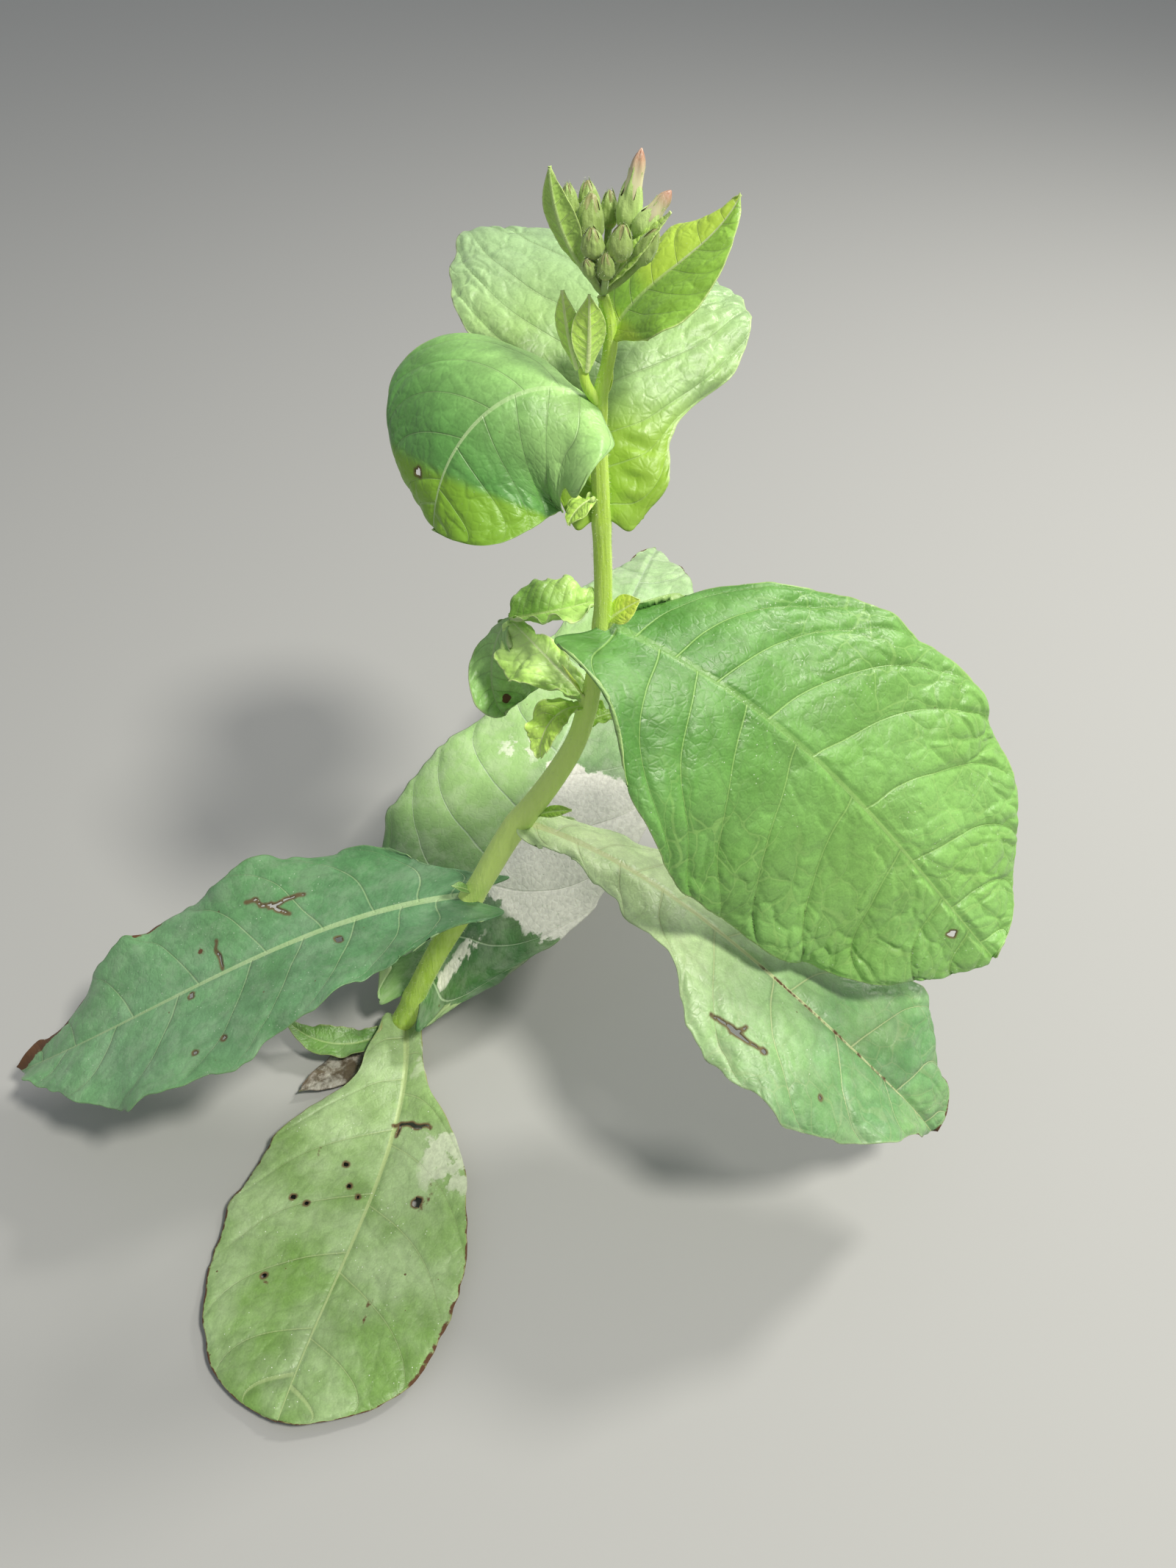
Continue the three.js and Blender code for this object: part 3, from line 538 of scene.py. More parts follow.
def vein_fields(leaf, s, u, side, width, seed):
    """The veins: rank and pitch of the side veins, and the net's own places onward and outward."""
    size = leaf["veins"][2]
    long = leaf["len"]
    x = s * long
    r = u * width
    sweep = np.minimum(width, 6 + 0.85 * x)
    ahead = x - sweep * (0.42 * u + 0.10 * u ** 2 + 0.34 * u ** 4)
    ahead = ahead + 1.6 * wander(x / 30, r / 22, seed + 1)
    starts = np.array(leaf.get("starts", VEIN_STARTS))
    ranks = np.arange(len(starts) + 4.0)
    rank = np.zeros(x.shape)
    pitch = np.zeros(x.shape)
    for half in (-1.0, 1.0):
        places = starts + 0.018 * (chance(ranks[:len(starts)], half, seed) - 0.5) + 0.018 * half
        before = places[0] - np.array([0.9, 0.1])
        beyond = places[-1] + np.array([0.1, 0.9])
        places = np.concatenate([before, places, beyond]) * long
        here = np.interp(ahead, places, ranks)
        gap = np.diff(places)[np.clip(np.floor(here).astype(int), 0, len(places) - 2)]
        rank = np.where(side == half, here, rank)
        pitch = np.where(side == half, gap, pitch)
    outward = r + 0.25 * size * wander(x / size, r / size, seed + 6)
    onward = x - 0.5 * r + 0.25 * size * wander(x / size + 7, r / size, seed + 9)
    onward = onward + 0.09 * size * wander(2.8 * x / size, 2.8 * r / size, seed + 15)
    outward = outward + 0.09 * size * wander(2.8 * x / size + 5, 2.8 * r / size, seed + 16)
    return rank, np.minimum(pitch, 0.16 * long), onward / size, outward / size


def share_along(x, y, ax, ay, bx, by):
    """How far along the line from a to b the nearest point to each place lies, from 0 to 1."""
    return np.clip(((x - ax) * (bx - ax) + (y - ay) * (by - ay)) / ((bx - ax) ** 2 + (by - ay) ** 2), 0, 1)


def from_whole(value):
    """How far a value is from the nearest whole number."""
    return np.abs(value - np.round(value))


def relief_height(leaf, s, u, side, width, seed):
    """How far the leaf's surface stands above the plain blade, in millimetres, with its net of veins."""
    depth, quilt, size = leaf["veins"]
    folds, fold_size, frill = leaf["crumple"]
    rank, pitch, onward, outward = vein_fields(leaf, s, u, side, width, seed)
    near = from_whole(rank) * pitch
    x = s * leaf["len"]
    edge, tone = cells(0.9 * onward, 0.9 * outward, seed + side * 5)
    net = edge * size
    y = side * u * width
    out = u * width
    grown = 0.35 + 0.65 * np.maximum(ease(0.25, 0.8, u), ease(0.5, 0.9, s))
    grown = grown + leaf.get("pucker", 0) * ease(0.18, 0.04, s) * ease(0.1, 0.4, u)
    from_rib = ease(0.0, 0.1 * leaf["len"] ** 0.5 + 2, out)
    to_rim = ease(0.0, 5.0, (1 - u) * width)
    open_base = 0.2 + 0.8 * ease(0.03, 0.28, s)
    outer = 0.15 + 0.85 * ease(0.12, 0.55, s)
    high = depth * (1 - np.exp(-near / (size * 0.22))) * from_rib * (0.4 + 0.6 * to_rim) * (0.5 + 0.5 * grown)
    high = high * open_base
    dome = (0.5 + 0.9 * tone) * (1 - np.exp(-net / (size * 0.09))) * (1 - np.exp(-near / (size * 0.12)))
    high = high + quilt * dome * grown * outer * from_rib * (0.3 + 0.7 * to_rim)
    if "sharp" in leaf:
        gap = leaf["creases"]
        bent = np.abs(wander(x / gap, y / gap, seed + 41))
        bent = bent + 0.5 * np.abs(wander(2 * x / gap, 2 * y / gap, seed + 43))
        high = high + leaf["sharp"] * (bent - 0.5) * ease(0, 0.6 * gap, out)
    high = high + 0.08 * quilt * wander(x / (size * 0.22), y / (size * 0.22), seed + 11)
    high = high + folds * 0.6 * wander(x / fold_size, y / fold_size, seed + 13) * ease(0, 14, out)
    high = high + folds * 0.35 * wander(x / fold_size * 2.3, y / fold_size * 2.3, seed + 17) * ease(0, 9, out)
    frilled = wander(x / (fold_size * 0.42), side + 0 * x, seed + 19) * u ** 5
    high = high + frill * frilled * ease(0.0, 0.08, s)
    near_base = ease(0.27, 0.12, s) * ease(0.12, 0.45, u) * (1 - 0.6 * u ** 3)
    pucker = wander(x / 4.5, y / 13, seed + 29) * near_base
    high = high + 0.6 * leaf.get("pucker", 0) * pucker
    swell = (0.25 + 1.45 * np.maximum(ease(0.2, 0.8, u), ease(0.5, 0.9, s))) * quilt * outer
    net = np.stack([onward, outward, side * 40 + seed], -1)
    return high * sizes().relief, rank, pitch, net, swell, tone


def leaf_piece(name, leaf, foot, seed):
    """A leaf: a fine sheet by the blade's rule, with sunken veins and quilts, cut at its holes."""
    cell = leaf["cell"]
    widest = max(leaf["left"]) + max(leaf["right"])
    mesh, px, py = grid_mesh(name, max(12, int(widest / cell)), max(20, int(leaf["len"] / cell)))
    rib = midrib(leaf, np.array(foot, float))
    s = np.clip(py * (1.3 - 0.3 * py), 0, 1)
    v = -px
    side = np.where(v < 0, -1.0, 1.0)
    width = half_width(leaf, s, side)
    x = s * leaf["len"]
    y = v * width
    gap = gap_field(name, leaf, x, y, seed)
    if name in HOLES or name in TEARS:
        nudge = 0.05
        gx = (gap_field(name, leaf, x + nudge, y, seed) - gap) / nudge
        gy = (gap_field(name, leaf, x, y + nudge, seed) - gap) / nudge
        snap = np.where(np.abs(gap) < 0.6 * cell, gap, 0) / np.maximum(gx * gx + gy * gy, 0.5)
        s = np.clip(s - snap * gx / leaf["len"], 0, 1)
        v = np.clip(v - snap * gy / width, -1, 1)
        gap = np.where(np.abs(gap) < 0.6 * cell, 0.0, gap)
        x = s * leaf["len"]
        y = v * width
    side = np.where(v < 0, -1.0, 1.0)
    u = np.abs(v)
    high, rank, pitch, net, swell, tone = relief_height(leaf, s, u, side, width, seed)
    uneven = wander(x / 16, 5 * side, seed + 23) + 0.45 * wander(x / 6, 5 * side, seed + 31)
    wide = v * (1 + leaf.get("ragged", 0.2) * uneven * u ** 4 * ease(1, 14, width) / width)
    points = blade_point(leaf, rib, s, wide) + blade_normal(leaf, rib, s, v) * high[:, None]
    z = points[:, 2]
    room = NEAR_GROUND - OVER_GROUND
    level = OVER_GROUND + room * np.exp((np.minimum(z, NEAR_GROUND) - NEAR_GROUND) / room)
    points[:, 2] = np.where(z < NEAR_GROUND, level, z)
    set_points(mesh, points)
    spine = (0.0062 * leaf["len"] + 0.55) * np.power(1 - np.clip(s, 0, 1), 1.2) + 0.3
    rim = np.minimum((1 - u) * width, np.maximum(gap, 0)) / min(1, 0.2 + leaf["len"] / 75)
    mark(mesh, "flat", np.stack([x, y, np.full(x.shape, seed * 37.0)], -1))
    slim = (0.0014 * leaf["len"] + 0.06) * (1.15 - 0.8 * u)
    mark(mesh, "midrib", v * width / spine)
    mark(mesh, "lines", np.stack([rank, pitch, slim], -1))
    mark(mesh, "swell", swell)
    mark(mesh, "net", net)
    mark(mesh, "tone", tone)
    mark(mesh, "rim", rim)
    mark(mesh, "gap", np.maximum(gap, 0))
    mark(mesh, "along", s)
    for key, values in leaf_marks(name, leaf, s, v, x, y).items():
        mark(mesh, key, values)
    thick = np.exp(-(u * width / (1.3 * spine)) ** 2) * (1 - 0.75 * s)
    thick = np.maximum(thick, 0.28 * np.exp(-(from_whole(rank) * pitch / 1.2) ** 2) * (1 - u))
    bm = bmesh.new()
    bm.from_mesh(mesh)
    weight = bm.verts.layers.deform.verify()
    bm.verts.ensure_lookup_table()
    for corner, value in zip(bm.verts, thick.tolist()):
        corner[weight][0] = value
    if name in HOLES or name in TEARS:
        bm.faces.ensure_lookup_table()
        outside = gap > -1e-6
        inner = [f for f in bm.faces if not all(outside[c.index] for c in f.verts)]
        lost = [f for f in bm.faces if sum(gap[c.index] for c in f.verts) < 1e-6]
        bmesh.ops.delete(bm, geom=list(set(inner) | set(lost)), context="FACES")
    bm.to_mesh(mesh)
    bm.free()
    piece = new_piece("leaf_" + name, mesh, (name,) if name in frame_nodes() else ())
    piece.vertex_groups.new(name="rib")
    wall = piece.modifiers.new("Blade", "SOLIDIFY")
    deep = sizes().rib * leaf["len"] / 250
    wall.thickness = max(deep, 2 * sizes().blade)
    wall.offset = -1
    wall.vertex_group = "rib"
    wall.thickness_vertex_group = min(1, sizes().blade * (0.6 + leaf["len"] / 600) / wall.thickness)
    wall.use_rim = True
    wall.material_offset = 1
    return piece


# Materials

def node(tree, kind, inputs=(), **settings):
    """Adds a node with its settings, and its inputs as values or as sockets to link from."""
    made = tree.nodes.new(kind)
    for key, value in settings.items():
        setattr(made, key, value)
    for key, value in dict(inputs).items():
        if isinstance(value, bpy.types.NodeSocket):
            tree.links.new(value, made.inputs[key])
        else:
            made.inputs[key].default_value = value
    return made


def calc(tree, operation, a, b=0.0):
    """A Math node's result."""
    return node(tree, "ShaderNodeMath", {0: a, 1: b}, operation=operation).outputs[0]


def times(tree, a, b):
    """One value times another."""
    return calc(tree, "MULTIPLY", a, b)


def plus(tree, a, b):
    """One value added to another."""
    return calc(tree, "ADD", a, b)


def between(tree, value, low, high, start=0.0, end=1.0):
    """start where the value is low, end where it is high, and a smooth step between."""
    inputs = {"Value": value, "From Min": low, "From Max": high, "To Min": start, "To Max": end}
    return node(tree, "ShaderNodeMapRange", inputs, interpolation_type="SMOOTHSTEP").outputs[0]


def blend(tree, factor, a, b, kind="MIX"):
    """One colour laid over another by a factor."""
    inputs = {0: factor, 6: a, 7: b}
    return node(tree, "ShaderNodeMix", inputs, data_type="RGBA", blend_type=kind).outputs[2]


def read(tree, name, output="Fac"):
    """An attribute of the piece."""
    return node(tree, "ShaderNodeAttribute", attribute_name=name).outputs[output]


def noise(tree, vector, scale, detail=2.0, rough=0.5):
    """Noise from 0 to 1."""
    inputs = {"Vector": vector, "Scale": scale, "Detail": detail, "Roughness": rough}
    return node(tree, "ShaderNodeTexNoise", inputs).outputs["Fac"]


def rgb(colour):
    """A colour with its alpha."""
    return (*colour[:3], 1.0)


def new_group(name, inputs, outputs):
    """An empty shader group, with the sockets that it is given and those that it fills."""
    group = bpy.data.node_groups.new(name, "ShaderNodeTree")
    for label, kind, value in inputs:
        socket = group.interface.new_socket(label, in_out="INPUT", socket_type=kind)
        socket.default_value = value
    for label, kind in outputs:
        group.interface.new_socket(label, in_out="OUTPUT", socket_type=kind)
    given = group.nodes.new("NodeGroupInput").outputs
    return group, given, group.nodes.new("NodeGroupOutput").inputs


COLOUR, VALUE = "NodeSocketColor", "NodeSocketFloat"
GREEN = (0.2, 0.4, 0.1, 1.0)


def from_line(tree, value, pitch):
    """How far a rank is from its nearest line, by the lines' pitch."""
    inner = calc(tree, "FRACT", plus(tree, value, 0.5))
    return times(tree, calc(tree, "ABSOLUTE", calc(tree, "SUBTRACT", inner, 0.5)), pitch)


def cell_edges(tree, vector, scale):
    """How far a place is from the edges of scattered cells."""
    inputs = {"Vector": vector, "Scale": scale}
    return node(tree, "ShaderNodeTexVoronoi", inputs, feature="DISTANCE_TO_EDGE").outputs["Distance"]


def grey(tree, value):
    """A value as a colour to multiply by."""
    return node(tree, "ShaderNodeCombineXYZ", {0: value, 1: value, 2: value}).outputs[0]


def tissue_group():
    """Leaf tissue: green with painted sunlight, veins with painted shade by their grooves, net, pale rim,
    withered edges, mud, specks, dew with painted glints, and its height.
    """
    inputs = [
        ("Base Green", COLOUR, GREEN), ("Tip Green", COLOUR, GREEN), ("Bright Green", COLOUR, GREEN),
        ("Painted Light Green", COLOUR, GREEN), ("Vein", COLOUR, GREEN), ("Rim", COLOUR, GREEN),
        ("Withered", COLOUR, GREEN), ("Mud", COLOUR, GREEN), ("Mottle", VALUE, 0.5), ("Net", VALUE, 0.3),
        ("Side Veins", VALUE, 0.4), ("Specks", VALUE, 0.3), ("Dust", VALUE, 0.0), ("Dew And Glints", VALUE, 0.0),
        ("Midrib", VALUE, 1.0),
    ]
    outputs = [("Color", COLOUR), ("Height", VALUE), ("Roughness", VALUE)]
    group, given, result = new_group("Leaf tissue", inputs, outputs)
    flat = read(group, "flat", "Vector")
    lines = node(group, "ShaderNodeSeparateXYZ", {0: read(group, "lines", "Vector")}).outputs
    broad = noise(group, flat, 0.022, 3.0, 0.55)
    fine = noise(group, flat, 0.16, 4.0, 0.6)
    grain = noise(group, flat, 1.1, 2.0, 0.5)
    slim = calc(group, "DIVIDE", from_line(group, lines[0], lines[1]), lines[2])
    quilt = cell_edges(group, read(group, "net", "Vector"), 1.0)
    areole = cell_edges(group, flat, 0.27)
    along_leaf = between(group, read(group, "along"), 0.1, 0.75)
    tissue = blend(group, along_leaf, given["Base Green"], given["Tip Green"])
    lift = times(group, between(group, broad, 0.36, 0.66), given["Mottle"])
    tissue = blend(group, lift, tissue, given["Bright Green"])
    tone = between(group, read(group, "tone"), 0.0, 1.0, 0.94, 1.06)
    shade = times(group, tone, between(group, fine, 0.25, 0.75, 0.9, 1.1))
    # Painted shade: darker along the side veins' flanks and at the quilts' edges, where the grooves lie
    shade = times(group, shade, between(group, slim, 1.0, 5.0, 0.86, 1.0))
    shade = times(group, shade, between(group, quilt, 0.0, 0.14, 0.9, 1.0))
    shade = times(group, shade, between(group, grain, 0.2, 0.8, 0.92, 1.08))
    tissue = blend(group, 1.0, tissue, grey(group, shade), "MULTIPLY")
    # Painted sunlight: a brighter green where the sun shines on or through a leaf
    painted_light = times(group, read(group, "painted_light"), between(group, fine, 0.1, 0.5, 0.8, 1.0))
    tissue = blend(group, painted_light, tissue, given["Painted Light Green"])
    areole_line = times(group, between(group, areole, 0.07, 0.01), 0.3)
    net = calc(group, "MAXIMUM", between(group, quilt, 0.035, 0.01), areole_line)
    net = times(group, net, between(group, read(group, "swell"), 0.3, 1.6, 0.15, 1.0))
    tissue = blend(group, times(group, net, given["Net"]), tissue, given["Vein"])
    vein = times(group, between(group, slim, 1.2, 0.6), given["Side Veins"])
    tissue = blend(group, vein, tissue, given["Vein"])
    rib = calc(group, "ABSOLUTE", read(group, "midrib"))
    spine = times(group, between(group, rib, 1.0, 0.75), between(group, broad, 0.2, 0.7, 0.75, 1.0))
    strength = between(group, read(group, "along"), 0.3, 0.7)
    strength = between(group, strength, 0.0, 1.0, given["Midrib"], 0.9)
    tissue = blend(group, times(group, spine, strength), tissue, given["Vein"])
    dust = between(group, noise(group, flat, 0.07, 5.0, 0.7), 0.42, 0.62)
    tissue = blend(group, times(group, dust, given["Dust"]), tissue, given["Mud"])
    rim = times(group, between(group, read(group, "rim"), 0.9, 0.25), 0.7)
    tissue = blend(group, rim, tissue, given["Rim"])
    # Dark brown rims round holes and tears: partly withered tissue, partly painted shade for the dark ground
    # seen through the holes
    eaten_rim_and_shade = times(group, between(group, read(group, "gap"), 1.8, 0.3), 0.85)
    ragged = times(group, between(group, fine, 0.35, 0.65, -0.45, 0.45), 0.8)
    dead = times(group, plus(group, read(group, "dried"), ragged), read(group, "dried"))
    dead = calc(group, "MAXIMUM", between(group, dead, 0.22, 0.5), eaten_rim_and_shade)
    tissue = blend(group, dead, tissue, given["Withered"])
    spots = node(group, "ShaderNodeTexVoronoi", {"Vector": flat, "Scale": 0.11}, feature="F1")
    spot_size = between(group, spots.outputs["Color"], 0.55, 1.0, 0.0, 0.085)
    speck = between(group, calc(group, "SUBTRACT", spots.outputs["Distance"], spot_size), 0.02, 0.0)
    tissue = blend(group, times(group, speck, given["Specks"]), tissue, given["Withered"])
    # Dew: small pale drops, partly the drops' own colour and partly painted glints, with lower roughness
    dew_cells = node(group, "ShaderNodeTexVoronoi", {"Vector": flat, "Scale": 0.42}, feature="F1")
    dew_glint = between(group, dew_cells.outputs["Distance"], 0.16, 0.06)
    dew_glint = times(group, dew_glint, between(group, dew_cells.outputs["Color"], 0.45, 0.6))
    dew_glint = times(group, dew_glint, between(group, noise(group, flat, 0.03, 2.0), 0.46, 0.6))
    dew_glint = times(group, dew_glint, given["Dew And Glints"])
    tissue = blend(group, dew_glint, tissue, rgb((0.84, 0.90, 0.76)))
    mud = read(group, "mud")
    film = plus(group, mud, between(group, noise(group, flat, 0.09, 5.0, 0.62), 0.2, 0.8, -0.5, 0.5))
    film = times(group, between(group, film, 0.42, 0.6), between(group, mud, 0.02, 0.7))
    bare = between(group, noise(group, flat, 0.6, 3.0, 0.6), 0.72, 0.78)
    film = times(group, film, calc(group, "SUBTRACT", 1.0, bare))
    mud_tone = between(group, noise(group, flat, 0.35, 4.0, 0.65), 0.3, 0.7, 0.86, 1.1)
    crust = blend(group, 1.0, given["Mud"], grey(group, mud_tone), "MULTIPLY")
    tissue = blend(group, film, tissue, crust)
    group.links.new(tissue, result["Color"])
    bump = times(group, between(group, areole, 0.0, 0.22), 0.4)
    bump = plus(group, bump, between(group, slim, 0.2, 1.8, 0.0, 1.2))
    dome = times(group, between(group, quilt, 0.0, 0.22), read(group, "swell"))
    bump = plus(group, bump, dome)
    bump = plus(group, bump, times(group, grain, 0.18))
    bump = plus(group, bump, times(group, noise(group, flat, 3.2, 1.0), 0.15))
    bump = plus(group, bump, times(group, plus(group, film, dew_glint), 0.5))
    group.links.new(bump, result["Height"])
    rough = between(group, calc(group, "MAXIMUM", film, dead), 0.0, 1.0, 0.43, 0.92)
    rough = plus(group, rough, between(group, fine, 0.2, 0.8, -0.08, 0.08))
    rough = calc(group, "SUBTRACT", rough, times(group, dew_glint, 0.25))
    group.links.new(rough, result["Roughness"])
    return group


def skin_group():
    """Skin of the stem and stalks: green with paler streaks, a band of painted light low on the stem and a
    withered foot, and its height.
    """
    inputs = [
        ("Green", COLOUR, GREEN), ("Pale", COLOUR, GREEN), ("Foot", COLOUR, GREEN), ("Streak", VALUE, 0.4),
    ]
    outputs = [("Color", COLOUR), ("Height", VALUE)]
    group, given, result = new_group("Stem skin", inputs, outputs)
    place = node(group, "ShaderNodeTexCoord").outputs["Object"]
    long = node(group, "ShaderNodeMapping", {"Vector": place, "Scale": (420.0, 420.0, 26.0)}).outputs[0]
    streak = between(group, noise(group, long, 1.0, 3.0, 0.6), 0.3, 0.7)
    blotch = noise(group, place, 70.0, 4.0, 0.6)
    amount = times(group, streak, given["Streak"])
    skin = blend(group, amount, given["Green"], given["Pale"])
    skin = blend(group, between(group, blotch, 0.5, 0.8, 0.0, 0.5), skin, given["Pale"])
    low = node(group, "ShaderNodeSeparateXYZ", {0: place}).outputs[2]
    low = plus(group, low, times(group, calc(group, "SUBTRACT", blotch, 0.5), 0.02))
    # Painted light: a paler band from 0.09 to 0.33 m high, lifting the stem where it stands in the leaves'
    # shade
    middle = times(group, between(group, low, 0.09, 0.14), between(group, low, 0.33, 0.27))
    skin = blend(group, times(group, middle, 0.7), skin, given["Pale"])
    skin = blend(group, between(group, low, 0.012, 0.003), skin, given["Foot"])
    group.links.new(skin, result["Color"])
    bump = plus(group, streak, times(group, noise(group, place, 1500.0, 2.0), 0.6))
    group.links.new(bump, result["Height"])
    return group


def group_of(name, make):
    """A shader group by name, made the first time that it is asked for."""
    return bpy.data.node_groups.get(name) or make()


def new_material(name):
    """A material without nodes, and its node tree."""
    material = bpy.data.materials.new(name)
    material.use_nodes = True
    material.node_tree.nodes.clear()
    return material, material.node_tree


def leaf_material(name, base, tip, bright, painted_light, vein, rim, mottle, net, veins, specks, dust, film, dew_and_glints, rib):
    """A leaf's finish."""
    material, tree = new_material(name)
    values = {
        "Base Green": rgb(base), "Tip Green": rgb(tip), "Bright Green": rgb(bright), "Painted Light Green": rgb(painted_light),
        "Vein": rgb(vein), "Rim": rgb(rim), "Withered": rgb(colours().withered), "Mud": rgb(film),
        "Mottle": mottle, "Net": net, "Side Veins": veins, "Specks": specks, "Dust": dust, "Dew And Glints": dew_and_glints,
        "Midrib": rib,
    }
    tissue = node(tree, "ShaderNodeGroup", values, node_tree=group_of("Leaf tissue", tissue_group))
    bump = node(tree, "ShaderNodeBump", {
        "Height": tissue.outputs["Height"], "Strength": 0.42, "Distance": 0.0005})
    shader = node(tree, "ShaderNodeBsdfPrincipled", {
        "Base Color": tissue.outputs["Color"], "Roughness": tissue.outputs["Roughness"],
        "Normal": bump.outputs[0], "Sheen Weight": 0.06, "Sheen Roughness": 0.4, "Specular IOR Level": 0.5})
    node(tree, "ShaderNodeOutputMaterial", {0: shader.outputs[0]})
    return material


def skin_material(name, green, pale, foot, streak=0.4, sheen=0.35):
    """The finish of a stem or stalk."""
    material, tree = new_material(name)
    values = {"Green": rgb(green), "Pale": rgb(pale), "Foot": rgb(foot), "Streak": streak}
    skin = node(tree, "ShaderNodeGroup", values, node_tree=group_of("Stem skin", skin_group))
    bump = node(tree, "ShaderNodeBump", {
        "Height": skin.outputs["Height"], "Strength": 0.5, "Distance": 0.0004})
    shader = node(tree, "ShaderNodeBsdfPrincipled", {
        "Base Color": skin.outputs["Color"], "Roughness": 0.5, "Normal": bump.outputs[0],
        "Sheen Weight": sheen, "Sheen Roughness": 0.35, "Specular IOR Level": 0.35})
    node(tree, "ShaderNodeOutputMaterial", {0: shader.outputs[0]})
    return material


def petal_material(name, low, high, streak):
    """The finish of closed petals: pale below and darker at the tip, with fine streaks."""
    material, tree = new_material(name)
    place = node(tree, "ShaderNodeTexCoord").outputs["Object"]
    long = node(tree, "ShaderNodeMapping", {"Vector": place, "Scale": (1500.0, 1500.0, 90.0)}).outputs[0]
    lines = between(tree, noise(tree, long, 1.0, 3.0, 0.6), 0.35, 0.65)
    ripe = between(tree, read(tree, "along"), 0.62, 1.0)
    petal = blend(tree, ripe, rgb(low), rgb(high))
    petal = blend(tree, times(tree, lines, 0.45), petal, rgb(streak))
    shader = node(tree, "ShaderNodeBsdfPrincipled", {"Base Color": petal, "Roughness": 0.45})
    node(tree, "ShaderNodeOutputMaterial", {0: shader.outputs[0]})
    return material


def plain_material(name, colour, rough):
    """A plain finish for hairs and the floor."""
    material = bpy.data.materials.new(name)
    material.use_nodes = True
    shader = material.node_tree.nodes["Principled BSDF"]
    shader.inputs["Base Color"].default_value = rgb(colour)
    shader.inputs["Roughness"].default_value = rough
    return material


def hair_material():
    """The finish of the fine hairs, made the first time that it is asked for."""
    return bpy.data.materials.get("hair") or plain_material("hair", (0.66, 0.74, 0.46), 0.4)


